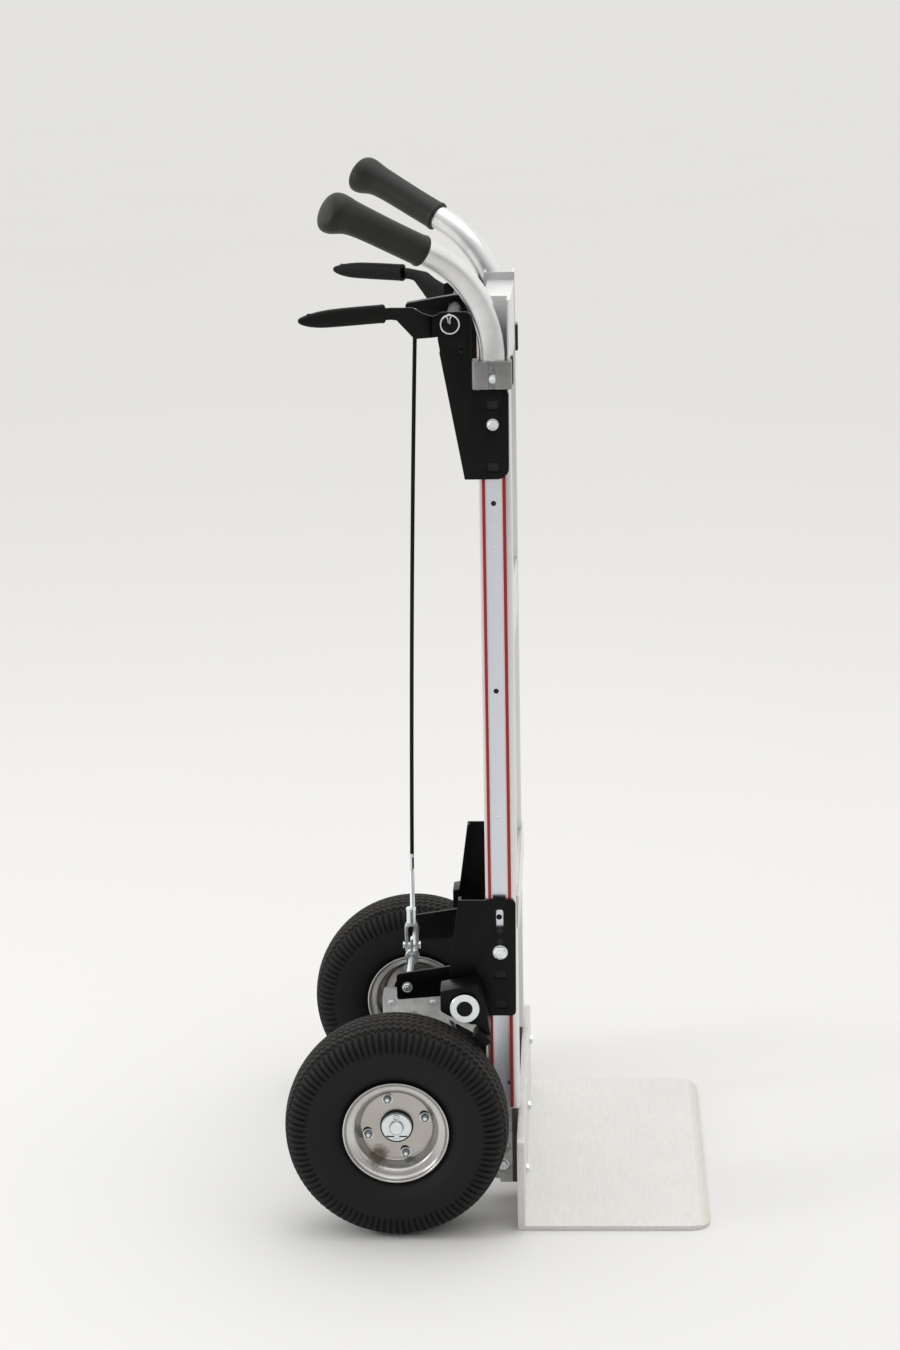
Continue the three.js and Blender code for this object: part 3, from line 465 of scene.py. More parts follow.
def joined(name, meshes, sharp_degrees=32):
    """One mesh holding several closed ones."""
    shell = bmesh.new()
    for mesh in meshes:
        shell.from_mesh(mesh)
    whole = bpy.data.meshes.new(name)
    shell.to_mesh(whole)
    shell.free()
    return tidy_mesh(whole, sharp_degrees)


def add_piece(name, mesh, finish, body, slot, *replaced):
    piece = bpy.data.objects.new(name, mesh)
    bpy.context.scene.collection.objects.link(piece)
    mesh.materials.clear()
    mesh.materials.append(finish_named(finish))
    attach(piece, body)
    if replaced:
        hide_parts(*replaced)
    return piece


def placed(point, centre, axis):
    turn = Vector((0, 0, 1)).rotation_difference(Vector(axis))
    return (turn @ Vector(point) + Vector(centre)) * MM


def turned(name, profile, centre, axis=(0, 1, 0), steps=64, sharp_degrees=32):
    """A closed profile of (radius, distance along the axis), in millimetres, swept round the axis."""
    vertices, faces = [], []
    for step in range(steps):
        angle = 2 * math.pi * step / steps
        for radius, along in profile:
            point = (radius * math.cos(angle), radius * math.sin(angle), along)
            vertices.append(placed(point, centre, axis))
    count = len(profile)
    for step in range(steps):
        here, there = step * count, ((step + 1) % steps) * count
        for i in range(count):
            j = (i + 1) % count
            if profile[i][0] == 0 and profile[j][0] == 0:
                continue
            ring = [here + i, here + j, there + j, there + i]
            if profile[i][0] == 0:
                ring.pop(3)
            elif profile[j][0] == 0:
                ring.pop(2)
            faces.append(ring)
    return closed_mesh(name, vertices, faces, sharp_degrees)


def rounded_rod(radius, start, end, chamfer=0.6):
    """Profile of a solid rod with chamfered ends."""
    return [
        (0, start), (radius - chamfer, start), (radius, start + chamfer),
        (radius, end - chamfer), (radius - chamfer, end), (0, end),
    ]


def washer_profile(bore, outer, start, end, chamfer=0.3):
    return [
        (bore, start), (outer - chamfer, start), (outer, start + chamfer),
        (outer, end - chamfer), (outer - chamfer, end), (bore, end),
    ]


def flowing(points, parts=5):
    """A Catmull-Rom line through the points, each span cut into equal parts."""
    line = []
    padded_points = [points[0], *points, points[-1]]
    for i in range(1, len(padded_points) - 2):
        before, start, end, after = (Vector(p) for p in padded_points[i - 1 : i + 3])
        for k in range(parts):
            t = k / parts
            line.append(
                0.5 * (2 * start + (end - before) * t
                       + (2 * before - 5 * start + 4 * end - after) * t * t
                       + (3 * start - before - 3 * end + after) * t * t * t)
            )
    line.append(Vector(points[-1]))
    return line


def ring_round(centre, ahead, up, half_width, half_height, sides, fullness=2.0):
    """A superellipse of points square to the direction ahead; fullness 2 is an ellipse."""
    ahead = Vector(ahead).normalized()
    side = ahead.cross(Vector(up)).normalized()
    over = side.cross(ahead)
    ring = []
    for i in range(sides):
        angle = 2 * math.pi * i / sides
        c, s = math.cos(angle), math.sin(angle)
        across = math.copysign(abs(c) ** (2 / fullness), c) * half_width
        tall = math.copysign(abs(s) ** (2 / fullness), s) * half_height
        ring.append(Vector(centre) + side * across + over * tall)
    return ring


def lofted(name, rings, sharp_degrees=32):
    """A closed skin over rings of points in millimetres, capped at both ends."""
    sides = len(rings[0])
    vertices = [point * MM for ring in rings for point in ring]
    faces = [list(range(sides)), list(range(len(vertices) - sides, len(vertices)))]
    for k in range(len(rings) - 1):
        for i in range(sides):
            j = (i + 1) % sides
            faces.append([k * sides + i, k * sides + j, (k + 1) * sides + j, (k + 1) * sides + i])
    return closed_mesh(name, vertices, faces, sharp_degrees)


def piped(name, points, radius, sides=16, up=(0, 1, 0)):
    """A round bar along a line of points."""
    line = [Vector(point) for point in points]
    rings = []
    for i, point in enumerate(line):
        ahead = line[min(i + 1, len(line) - 1)] - line[max(i - 1, 0)]
        rings.append(ring_round(point, ahead, up, radius, radius, sides))
    return lofted(name, rings)


def block(name, low, high, soften=0.3):
    """A box between two corners with softened edges."""
    mesh = bpy.data.meshes.new(name)
    shell = bmesh.new()
    bmesh.ops.create_cube(shell, size=1)
    size = [abs(b - a) * MM for a, b in zip(low, high)]
    middle = [(a + b) / 2 * MM for a, b in zip(low, high)]
    bmesh.ops.scale(shell, vec=size, verts=shell.verts)
    bmesh.ops.translate(shell, vec=middle, verts=shell.verts)
    bmesh.ops.bevel(
        shell, geom=shell.edges[:], offset=soften * MM, segments=2, profile=0.6,
        affect="EDGES", clamp_overlap=True,
    )
    bmesh.ops.recalc_face_normals(shell, faces=shell.faces)
    shell.to_mesh(mesh)
    shell.free()
    return tidy_mesh(mesh)


def crisped(node, finish=None, edge=0.5, sharp=28):
    """A copy of a solid with its edges softened, standing in for it."""
    mesh = frame["nodes"][node].data.copy()
    shell = bmesh.new()
    shell.from_mesh(mesh)
    bmesh.ops.remove_doubles(shell, verts=shell.verts, dist=3e-6)
    bmesh.ops.dissolve_limit(
        shell, angle_limit=math.radians(0.8), verts=shell.verts, edges=shell.edges
    )
    corners = [
        rim for rim in shell.edges
        if len(rim.link_faces) == 2 and rim.calc_face_angle(0) > math.radians(sharp)
    ]
    bmesh.ops.bevel(
        shell, geom=corners, offset=edge * MM, segments=2, profile=0.65,
        affect="EDGES", clamp_overlap=True,
    )
    shell.to_mesh(mesh)
    shell.free()
    tidy_mesh(mesh, sharp)
    slot = SLOT_OF[node]
    return add_piece(f"{node}_skin", mesh, finish or slot, BODY_OF[node], slot, node)


def extruded(name, outline, y0, y1, origin=(0, 0), soften=0.4):
    """An X-Z outline drawn along Y, its edges softened; the outline is placed from the origin."""
    mesh = bpy.data.meshes.new(name)
    shell = bmesh.new()
    ends = [
        [shell.verts.new(Vector((origin[0] + x, y, origin[1] + z)) * MM) for x, z in outline]
        for y in (y0, y1)
    ]
    shell.faces.new(ends[0])
    shell.faces.new(ends[1])
    for i in range(len(outline)):
        j = (i + 1) % len(outline)
        shell.faces.new([ends[0][i], ends[0][j], ends[1][j], ends[1][i]])
    bmesh.ops.recalc_face_normals(shell, faces=shell.faces)
    bmesh.ops.bevel(
        shell, geom=shell.edges[:], offset=soften * MM, segments=2, profile=0.6,
        affect="EDGES", clamp_overlap=True,
    )
    shell.to_mesh(mesh)
    shell.free()
    return tidy_mesh(mesh)


def as_plain_mesh(name, base, tree, values, material):
    """Runs a geometry tree on a base mesh once and returns the plain result."""
    holder = bpy.data.objects.new(name, base)
    bpy.context.scene.collection.objects.link(holder)
    modifier = holder.modifiers.new("shape", "NODES")
    modifier.node_group = tree
    sockets = {item.name: item.identifier for item in tree.interface.items_tree if item.in_out == "INPUT"}
    for key, value in values.items():
        modifier[sockets[key]] = value
    if "Finish" in sockets:
        modifier[sockets["Finish"]] = material
    bpy.context.view_layer.update()
    depsgraph = bpy.context.evaluated_depsgraph_get()
    mesh = bpy.data.meshes.new_from_object(holder.evaluated_get(depsgraph))
    holder.modifiers.clear()
    bpy.data.objects.remove(holder)
    mesh.name = name
    return mesh


# ------------------------------------------------------------------ geometry trees
def tree_with(name, inputs):
    """A geometry tree with a Geometry input, the named inputs and a Geometry output."""
    tree = bpy.data.node_groups.new(name, "GeometryNodeTree")
    tree.interface.new_socket("Geometry", in_out="INPUT", socket_type="NodeSocketGeometry")
    for label, kind, default in inputs:
        socket = tree.interface.new_socket(label, in_out="INPUT", socket_type=kind)
        if default is not None:
            socket.default_value = default
    tree.interface.new_socket("Geometry", in_out="OUTPUT", socket_type="NodeSocketGeometry")
    graph = Graph(tree)
    entry = graph.tree.nodes.new("NodeGroupInput")
    given = {label: Wire(graph, entry.outputs[label]) for label, *_ in inputs}
    given["Geometry"] = Wire(graph, entry.outputs["Geometry"])
    return graph, given


def end_tree(graph, geometry, finish):
    real = graph.add("GeometryNodeRealizeInstances", inputs={"Geometry": geometry})
    dressed = graph.add("GeometryNodeSetMaterial", inputs={"Geometry": real, "Material": finish})
    leave = graph.tree.nodes.new("NodeGroupOutput")
    graph.tree.links.new(dressed.socket, leave.inputs[0])


def tread_tree():
    """Presses zigzag grooves into the crown of a tyre and ribs into both of its shoulders."""
    graph, given = tree_with("tyre_tread", [
        ("Pitches", "NodeSocketInt", 96), ("Row spacing", "NodeSocketFloat", 0.011),
        ("Groove depth", "NodeSocketFloat", 0.0026), ("Rib depth", "NodeSocketFloat", 0.0026),
        ("Middle", "NodeSocketVector", None), ("Finish", "NodeSocketMaterial", None),
    ])
    spot = graph.add("GeometryNodeInputPosition")
    away = graph.add("ShaderNodeVectorMath", {"operation": "SUBTRACT"}, {0: spot, 1: given["Middle"]})
    split = graph.add("ShaderNodeSeparateXYZ", inputs={0: away}).socket.node
    x, y, z = (Wire(graph, split.outputs[axis]) for axis in "XYZ")
    radius = (x * x + z * z).math("SQRT")
    turns = z.math("ARCTAN2", x) / (2 * math.pi)
    beat = (turns * given["Pitches"]).math("FRACT")
    zigzag = ((beat - 0.5).math("ABSOLUTE") - 0.25) * 4
    rows = (y - zigzag * 0.0023) / given["Row spacing"]
    from_groove = ((rows.math("FLOOR") * -1 + rows) - 0.5).math("ABSOLUTE") * given["Row spacing"]
    crown = radius.above(0.1215, 0.1245)
    groove = (1 - from_groove.above(0.0012, 0.0021)) * crown
    ripple = (beat - 0.5).math("ABSOLUTE").above(0.26, 0.38)
    shoulder = radius.inside(0.1045, 0.1235, 0.0025) * y.math("ABSOLUTE").above(0.028, 0.031)
    depth = groove * given["Groove depth"] + ripple * shoulder * given["Rib depth"]
    normal = graph.add("GeometryNodeInputNormal")
    shift = graph.add(
        "ShaderNodeVectorMath", {"operation": "SCALE"}, {0: normal, "Scale": depth * -1}
    )
    pressed = graph.add(
        "GeometryNodeSetPosition", inputs={"Geometry": given["Geometry"], "Offset": shift}
    )
    end_tree(graph, pressed, given["Finish"])
    return graph.tree


def bolt_tree():
    """Flanged hexagon heads set evenly on a circle round the Z axis, with a domed stud end."""
    graph, given = tree_with("bolt_circle", [
        ("Count", "NodeSocketInt", 1), ("Circle radius", "NodeSocketFloat", 0.0),
        ("Start angle", "NodeSocketFloat", 0.0), ("Head radius", "NodeSocketFloat", 0.006),
        ("Head height", "NodeSocketFloat", 0.004), ("Flange radius", "NodeSocketFloat", 0.008),
        ("Flange height", "NodeSocketFloat", 0.001), ("Stud radius", "NodeSocketFloat", 0.003),
        ("Stud height", "NodeSocketFloat", 0.001), ("Finish", "NodeSocketMaterial", None),
    ])

    def drum(sides, foot_radius, top_radius, height, lift):
        body = graph.add(
            "GeometryNodeMeshCone", {"fill_type": "NGON"},
            {"Vertices": sides, "Radius Bottom": foot_radius, "Radius Top": top_radius, "Depth": height},
        )
        rise = graph.add("ShaderNodeCombineXYZ", inputs={"Z": lift})
        return graph.add("GeometryNodeTransform", inputs={"Geometry": body, "Translation": rise})

    flange_top = given["Flange height"]
    head_top = flange_top + given["Head height"] * 0.8
    layers = [
        drum(28, given["Flange radius"], given["Flange radius"] * 0.96, flange_top, 0.0),
        drum(6, given["Head radius"], given["Head radius"], given["Head height"] * 0.8, flange_top),
        drum(6, given["Head radius"], given["Head radius"] * 0.84, given["Head height"] * 0.2, head_top),
        drum(16, given["Stud radius"], given["Stud radius"] * 0.8, given["Stud height"],
             flange_top + given["Head height"]),
    ]
    join = graph.tree.nodes.new("GeometryNodeJoinGeometry")
    for layer in reversed(layers):
        graph.tree.links.new(layer.socket, join.inputs[0])
    spots = graph.add(
        "GeometryNodeMeshCircle", {"fill_type": "NONE"},
        {"Vertices": given["Count"].math("MAXIMUM", 3), "Radius": given["Circle radius"]},
    )
    index = graph.add("GeometryNodeInputIndex")
    spare = graph.add(
        "FunctionNodeCompare", {"data_type": "INT", "operation": "GREATER_EQUAL"},
        {2: index, 3: given["Count"]},
    )
    kept = graph.add("GeometryNodeDeleteGeometry", inputs={"Geometry": spots, "Selection": spare})
    spin = graph.add("ShaderNodeCombineXYZ", inputs={"Z": given["Start angle"]})
    spun = graph.add("GeometryNodeTransform", inputs={"Geometry": kept, "Rotation": spin})
    set_out = graph.add(
        "GeometryNodeInstanceOnPoints", inputs={"Points": spun, "Instance": Wire(graph, join.outputs[0])}
    )
    end_tree(graph, set_out, given["Finish"])
    return graph.tree


def marks_tree():
    """Low round studs or pits set in a row up the Z axis, facing along -Y."""
    graph, given = tree_with("row_of_marks", [
        ("Count", "NodeSocketInt", 2), ("Spacing", "NodeSocketFloat", 0.02),
        ("Radius", "NodeSocketFloat", 0.003), ("Height", "NodeSocketFloat", 0.0004),
        ("Finish", "NodeSocketMaterial", None),
    ])
    step = graph.add("ShaderNodeCombineXYZ", inputs={"Z": given["Spacing"]})
    row = graph.add(
        "GeometryNodeMeshLine", {"mode": "OFFSET"}, {"Count": given["Count"], "Offset": step}
    )
    stud = graph.add(
        "GeometryNodeMeshCone", {"fill_type": "NGON"},
        {"Vertices": 20, "Radius Bottom": given["Radius"], "Radius Top": given["Radius"] * 0.8,
         "Depth": given["Height"]},
    )
    laid = graph.add(
        "GeometryNodeTransform", inputs={"Geometry": stud, "Rotation": (math.pi / 2, 0, 0)}
    )
    set_out = graph.add("GeometryNodeInstanceOnPoints", inputs={"Points": row, "Instance": laid})
    end_tree(graph, set_out, given["Finish"])
    return graph.tree


_trees = {}


def tree_named(name, maker):
    if name not in _trees:
        _trees[name] = maker()
    return _trees[name]


def bolts(name, body, centre, axis, slot="plated", finish="plated", replaced=(), **sizes):
    """Bolt heads made by the bolt tree, laid at a place in millimetres and facing along an axis."""
    values = {
        key.replace("_", " ").capitalize(): (value if isinstance(value, int) else value * MM)
        for key, value in sizes.items() if key != "start_angle"
    }
    values["Start angle"] = math.radians(sizes.get("start_angle", 0.0))
    mesh = as_plain_mesh(
        name, bpy.data.meshes.new(f"{name}_base"), tree_named("bolts", bolt_tree), values, finish_named(finish)
    )
    turn = Vector((0, 0, 1)).rotation_difference(Vector(axis)).to_matrix().to_4x4()
    mesh.transform(Matrix.Translation(Vector(centre) * MM) @ turn)
    return add_piece(name, tidy_mesh(mesh), finish, body, slot, *replaced)


def marks(name, body, centre, sign, finish, slot, **sizes):
    values = {
        key.capitalize(): (value if isinstance(value, int) else value * MM)
        for key, value in sizes.items()
    }
    mesh = as_plain_mesh(
        name, bpy.data.meshes.new(f"{name}_base"), tree_named("marks", marks_tree), values, finish_named(finish)
    )
    if sign > 0:
        mesh.transform(Matrix.Rotation(math.pi, 4, "Z"))
    mesh.transform(Matrix.Translation(Vector(centre) * MM))
    return add_piece(name, tidy_mesh(mesh), finish, body, slot)


# ------------------------------------------------------------------ settings
class TruckColours(bpy.types.PropertyGroup):
    aluminium: FloatVectorProperty(
        name="Aluminium", description="Base colour of rails and tubes", subtype="COLOR",
        size=3, default=(0.80, 0.80, 0.80), min=0, max=1)
    casting: FloatVectorProperty(
        name="Casting", description="Base colour of the cast brackets and collars", subtype="COLOR",
        size=3, default=(0.66, 0.66, 0.65), min=0, max=1)
    plate: FloatVectorProperty(
        name="Nose plate", description="Base colour of the nose plate", subtype="COLOR",
        size=3, default=(0.78, 0.77, 0.745), min=0, max=1)
    zinc: FloatVectorProperty(
        name="Zinc", description="Base colour of plated fasteners", subtype="COLOR",
        size=3, default=(0.78, 0.83, 0.86), min=0, max=1)
    black: FloatVectorProperty(
        name="Powder coat", description="Base colour of the black sheet parts", subtype="COLOR",
        size=3, default=(0.0022, 0.0022, 0.0020), min=0, max=1)
    rubber: FloatVectorProperty(
        name="Tyre", description="Base colour of the tyres", subtype="COLOR",
        size=3, default=(0.0085, 0.0085, 0.0088), min=0, max=1)
    grip: FloatVectorProperty(
        name="Grip", description="Base colour of the grips", subtype="COLOR",
        size=3, default=(0.0125, 0.0122, 0.0112), min=0, max=1)
    stripe: FloatVectorProperty(
        name="Stripe", description="Base colour of the rail inlays", subtype="COLOR",
        size=3, default=(0.30, 0.010, 0.012), min=0, max=1)


class TruckWheels(bpy.types.PropertyGroup):
    pitches: IntProperty(
        name="Tread pitches", description="Zigzags round the tyre", default=96, min=24, max=160)
    row_spacing: FloatProperty(
        name="Row spacing", description="Distance between grooves across the tread",
        default=0.011, min=0.006, max=0.03, unit="LENGTH")
    groove_depth: FloatProperty(
        name="Groove depth", description="Depth of the zigzag grooves",
        default=0.0034, min=0.0, max=0.005, unit="LENGTH")
    rib_depth: FloatProperty(
        name="Rib depth", description="Depth of the shoulder ribs",
        default=0.0028, min=0.0, max=0.004, unit="LENGTH")


class TruckHandles(bpy.types.PropertyGroup):
    tube_radius: FloatProperty(
        name="Tube radius", description="Outer radius of the handle tube",
        default=0.0143, min=0.01, max=0.02, unit="LENGTH")
    grip_radius: FloatProperty(
        name="Grip radius", description="Radius of the straight part of a grip",
        default=0.0172, min=0.015, max=0.025, unit="LENGTH")
    grip_flare: FloatProperty(
        name="Grip flare", description="Radius of the flared end of a grip",
        default=0.0218, min=0.018, max=0.03, unit="LENGTH")


class TruckStage(bpy.types.PropertyGroup):
    floor: FloatVectorProperty(
        name="Floor", description="Colour of the floor", subtype="COLOR",
        size=3, default=(0.715, 0.71, 0.70), min=0, max=1)
    lens: FloatProperty(
        name="Lens", description="Focal length for a 36 mm tall frame", default=79.74,
        min=20, max=200, unit="CAMERA")
    key_power: FloatProperty(
        name="Overhead light", description="Power of the overhead softbox", default=26.0,
        min=0, max=500, unit="POWER")


# ------------------------------------------------------------------ operators
class TRUCK_OT_frame(bpy.types.Operator):
    """Softens the edges of the rails, braces, nose plate and castings and gives them their metal"""

    bl_idname = "truck.frame"
    bl_label = "Frame"

    def execute(self, context):
        for node in ("upper_cross_brace", "middle_cross_brace", "lower_cross_brace"):
            crisped(node, edge=0.6)
        crisped("nose_plate", edge=0.9)
        for side, sign in SIDES:
            crisped(f"{side}_rail", edge=0.5)
            crisped(f"{side}_axle_bracket", edge=1.1)
            crisped(f"{side}_handle_collar", "collar", edge=0.9)
            # Painted shade: a thin dark sheet laid in each collar's clamping groove for the shadow inside it.
            shadow = block(f"{side}_collar_groove_shade", (0.4, sign * 166.3, 980.6), (7.6, sign * 166.62, 1010), 0.1)
            add_piece(f"{side}_collar_groove_shade", shadow, "nut", "frame", "casting")
        axle = turned("axle_skin", rounded_rod(7.95, -235, 235, 1.0), (WHEEL_X, 0, WHEEL_Z), steps=48)
        shoulders = [
            turned("axle_shoulder", washer_profile(7.9, 12, sign * 150.4, sign * 183.4, sign * 0.6),
                   (WHEEL_X, 0, WHEEL_Z), steps=48)
            for _, sign in SIDES
        ]
        add_piece("axle_skin", joined("axle_skin", [axle, *shoulders]), "plated", "frame", "plated", "axle")
        return {"FINISHED"}


class TRUCK_OT_rail_trim(bpy.types.Operator):
    """Lays the red inlays, dark discs of painted shade for the drilled holes, rivets and bumpers on the rails"""

    bl_idname = "truck.rail_trim"
    bl_label = "Rail trim"

    def execute(self, context):
        face = 153
        for side, sign in SIDES:
            for label, back, front in (("rear", -9.2, -5.7), ("front", 13.7, 17.5)):
                inlay = block(f"{side}_{label}_inlay", (back, sign * (face - 0.6), 123),
                              (front, sign * (face + 0.16), 971.5), 0.12)
                add_piece(f"{side}_{label}_inlay", inlay, "stripe", "frame", "extrusion")
            floor = sign * (face - 1.6)
            # Painted shade: dark discs stand for the insides of the drilled holes in the rail face.
            marks(f"{side}_rail_holes", "frame", (RAIL_MIDDLE - 0.5, floor, 630.9), sign, "recess", "extrusion",
                  Count=2, Spacing=217.8, Radius=3.0, Height=0.12)
            marks(f"{side}_rail_rivets", "frame", (RAIL_MIDDLE - 0.3, floor, 797.5), sign, "extrusion",
                  "extrusion", Count=2, Spacing=24.5, Radius=1.9, Height=0.5)
            marks(f"{side}_low_rivet", "frame", (RAIL_MIDDLE, floor, 480.5), sign, "extrusion", "extrusion",
                  Count=1, Spacing=1.0, Radius=1.9, Height=0.5)
            # Painted shade: a dark disc for the inside of the hole in the rail foot.
            marks(f"{side}_foot_hole", "frame", (12.2, sign * face, 154), sign, "recess", "extrusion",
                  Count=1, Spacing=1.0, Radius=1.8, Height=0.12)
            bumper = block(f"{side}_bumper", (24.2, sign * 124, 981), (27.2, sign * 141, 1012), 1.1)
            add_piece(f"{side}_bumper", bumper, "grip", "frame", "grip")
        return {"FINISHED"}


class TRUCK_OT_tyres(bpy.types.Operator):
    """Turns each tyre and presses its tread and shoulder ribs"""

    bl_idname = "truck.tyres"
    bl_label = "Tyres"

    def execute(self, context):
        settings = context.scene.truck_wheels
        wall = [
            (52.9, 13.0), (53.0, 19.0), (54.4, 22.6), (58.0, 24.4), (62.5, 26.6), (66.5, 30.4), (70.5, 34.6),
            (76.0, 38.8), (83.0, 41.9), (91.0, 43.6), (98.0, 44.0), (104.0, 43.7), (109.0, 42.8),
            (114.0, 41.0), (118.5, 38.2), (122.0, 35.0), (124.8, 31.4), (126.6, 28.0),
        ]
        wall = [(point.x, point.y) for point in flowing([(r, o, 0) for r, o in wall], 2)]
        wall = [(r, o + 0.35 * math.exp(-(((r - 98.6) / 0.7) ** 2)) + 0.3 * math.exp(-(((r - 90.5) / 0.7) ** 2)))
                for r, o in wall]
        crown = [(130 - 3.4 * (o / 28) ** 2, o) for o in [27.0 - 1.35 * k for k in range(41)]]
        lining = [(122, -10), (119, -22), (111, -31), (98, -36.5), (80, -32), (66, -20), (60, -12)]
        profile = [*wall, *crown, *[(r, -o) for r, o in reversed(wall)],
                   *[(r, o) for r, o in reversed(lining)], *[(r, -o) for r, o in lining]]
        for side, sign in SIDES:
            middle = (WHEEL_X, sign * WHEEL_Y, WHEEL_Z)
            base = turned(f"{side}_tyre_base", profile, middle, steps=settings.pitches * 8, sharp_degrees=80)
            mesh = as_plain_mesh(
                f"{side}_tyre_tread", base, tree_named("tread", tread_tree),
                {"Pitches": settings.pitches, "Row spacing": settings.row_spacing,
                 "Groove depth": settings.groove_depth, "Rib depth": settings.rib_depth,
                 "Middle": tuple(value * MM for value in middle)},
                finish_named("tyre"))
            add_piece(f"{side}_tyre_tread", tidy_mesh(mesh, 50), "tyre", f"{side}_wheel", "tyre", f"{side}_tyre")
        return {"FINISHED"}


class TRUCK_OT_rims(bpy.types.Operator):
    """Turns the two rim halves, hub and bearings of each wheel and sets the bolts and washers"""

    bl_idname = "truck.rims"
    bl_label = "Rims"

    outer_face = [
        (19.3, 8.0), (30, 8.0), (38.5, 8.0), (41.2, 8.5), (43.0, 10.4), (44.6, 14.0), (46.6, 19.0), (48.6, 22.6),
        (51.6, 24.4), (55.2, 25.6), (57.6, 27.4), (58.8, 29.6), (59.4, 31.2), (60.4, 32.0), (61.4, 31.6),
    ]
    inner_face = [
        (19.3, 3.7), (30, 3.7), (38.0, 3.7), (40.6, 2.4), (42.4, -2.0), (45.4, -12.0), (48.4, -21.0),
        (51.6, -24.4), (55.2, -25.6), (57.6, -27.4), (58.8, -29.6), (59.4, -31.2), (60.4, -32.0), (61.4, -31.6),
    ]

    @staticmethod
    def sheet(line, thickness):
        """A closed profile: the line and its offset by the sheet's thickness."""
        smooth = flowing([(r, o, 0) for r, o in line], 3)
        offset = []
        for i, point in enumerate(smooth):
            along = (smooth[min(i + 1, len(smooth) - 1)] - smooth[max(i - 1, 0)]).normalized()
            offset.append((max(point.x + along.y * thickness, line[0][0]), point.y - along.x * thickness))
        return [(p.x, p.y) for p in smooth] + offset[::-1]

    def execute(self, context):
        for side, sign in SIDES:
            body = f"{side}_wheel"
            centre = (WHEEL_X, sign * WHEEL_Y, WHEEL_Z)
            axis = (0, sign, 0)
            shapes = {
                "outer_rim": ("pressing", self.sheet(self.outer_face, 1.6)),
                "inner_rim": ("pressing", self.sheet(self.inner_face, -1.6)),
                # Painted shade: the hub takes the black coat because its outer wall shows as a dark crescent in
                # shadow beside the washer.
                "hub": ("black_steel", [(17.8, -33), (18.7, -33), (19, -32.7), (19, 1.2), (29.6, 1.2), (30, 1.6),
                                   (30, 3.4), (19, 3.4), (19, 12.2), (18.6, 12.6), (17.8, 12.6)]),
                "outer_bearing": ("plated", self.bearing(2, 12)),
                "inner_bearing": ("plated", self.bearing(-32, -22)),
            }
            for part, (finish, profile) in shapes.items():
                mesh = turned(f"{side}_{part}_turned", profile, centre, axis, 96)
                add_piece(f"{side}_{part}_turned", mesh, finish, body, "plated", f"{side}_{part}")
            crisped(f"{side}_axle_washer", edge=0.3)
            self.set_bolts(side, sign, body)
            self.dress_axle(side, sign)
        return {"FINISHED"}

    @staticmethod
    def bearing(start, end):
        """A ball bearing's rings with its shield set back between them."""
        return [
            (8.3, start), (11, start), (11, start + 0.6), (15, start + 0.6), (15, start), (17.5, start),
            (17.5, end), (15, end), (15, end - 0.6), (11, end - 0.6), (11, end), (8.3, end),
        ]

    @staticmethod
    def set_bolts(side, sign, body):
        sizes = {"Count": 4, "circle_radius": 34.6, "head_radius": 2.9, "head_height": 4.2, "flange_radius": 6.4,
                 "flange_height": 0.9, "stud_radius": 2.4, "stud_height": 0.8}
        nuts = {**sizes, "head_radius": 4.9, "head_height": 3.4, "flange_radius": 5.2, "flange_height": 1.3,
                "stud_radius": 2.0, "stud_height": 0.2}
        centre = (WHEEL_X, sign * (WHEEL_Y + 8.05), WHEEL_Z)
        first = 17 + 90 * (sign > 0)
        bolts(f"{side}_rim_studs", body, centre, (0, sign, 0), start_angle=first, **sizes)
        bolts(f"{side}_rim_nuts", body, centre, (0, sign, 0), finish="nut", start_angle=first, **nuts)
        inboard = (WHEEL_X, sign * (WHEEL_Y + 1.6), WHEEL_Z)
        bolts(f"{side}_rim_bolt_heads", body, inboard, (0, -sign, 0), start_angle=17,
              **{**nuts, "flange_radius": 6.4})
        # Painted shade: thin dark discs just above each bolt for the dark of the clearance slots in the disc.
        slots = []
        for k in range(4):
            angle = math.radians(17 + 90 * k)
            spot = (WHEEL_X + 34.6 * math.cos(angle) - 1.0, sign * (WHEEL_Y + 8.0),
                    WHEEL_Z + 34.6 * math.sin(angle) + 3.4)
            slots.append(turned("bolt_slot", washer_profile(0, 5.3, 0, 0.14, 0.05)[1:-1] + [(0, 0.14), (0, 0)],
                                spot, (0, sign, 0), 24))
        add_piece(f"{side}_rim_slots", joined(f"{side}_rim_slots", slots), "recess", body, "plated")

    @staticmethod
    def dress_axle(side, sign):
        """The cotter eye above the end of the axle and dark blocks of painted shade for the key slots in its washer.
        """
        face = sign * 231.6
        eye = [(WHEEL_X + 2.9 * math.cos(a), face + sign * 1.1, WHEEL_Z + 12.4 + 2.9 * math.sin(a))
               for a in (math.radians(-60 + 30 * k) for k in range(11))]
        wire = piped("cotter", [(WHEEL_X + 0.6, face + sign * 1.1, WHEEL_Z - 8.4), *eye,
                                (WHEEL_X - 0.6, face + sign * 1.1, WHEEL_Z - 8.4)], 0.9, 10)
        add_piece(f"{side}_axle_cotter", wire, "plated", "frame", "plated")
        slots = [
            block("slot", (WHEEL_X + near, sign * 230.8, WHEEL_Z - 11.6), (WHEEL_X + far, sign * 231.12, WHEEL_Z - 9.9), 0.1)
            for near, far in ((-12.5, -2.8), (2.8, 12.5))
        ]
        add_piece(f"{side}_washer_slots", joined(f"{side}_washer_slots", slots), "recess", "frame", "plated")


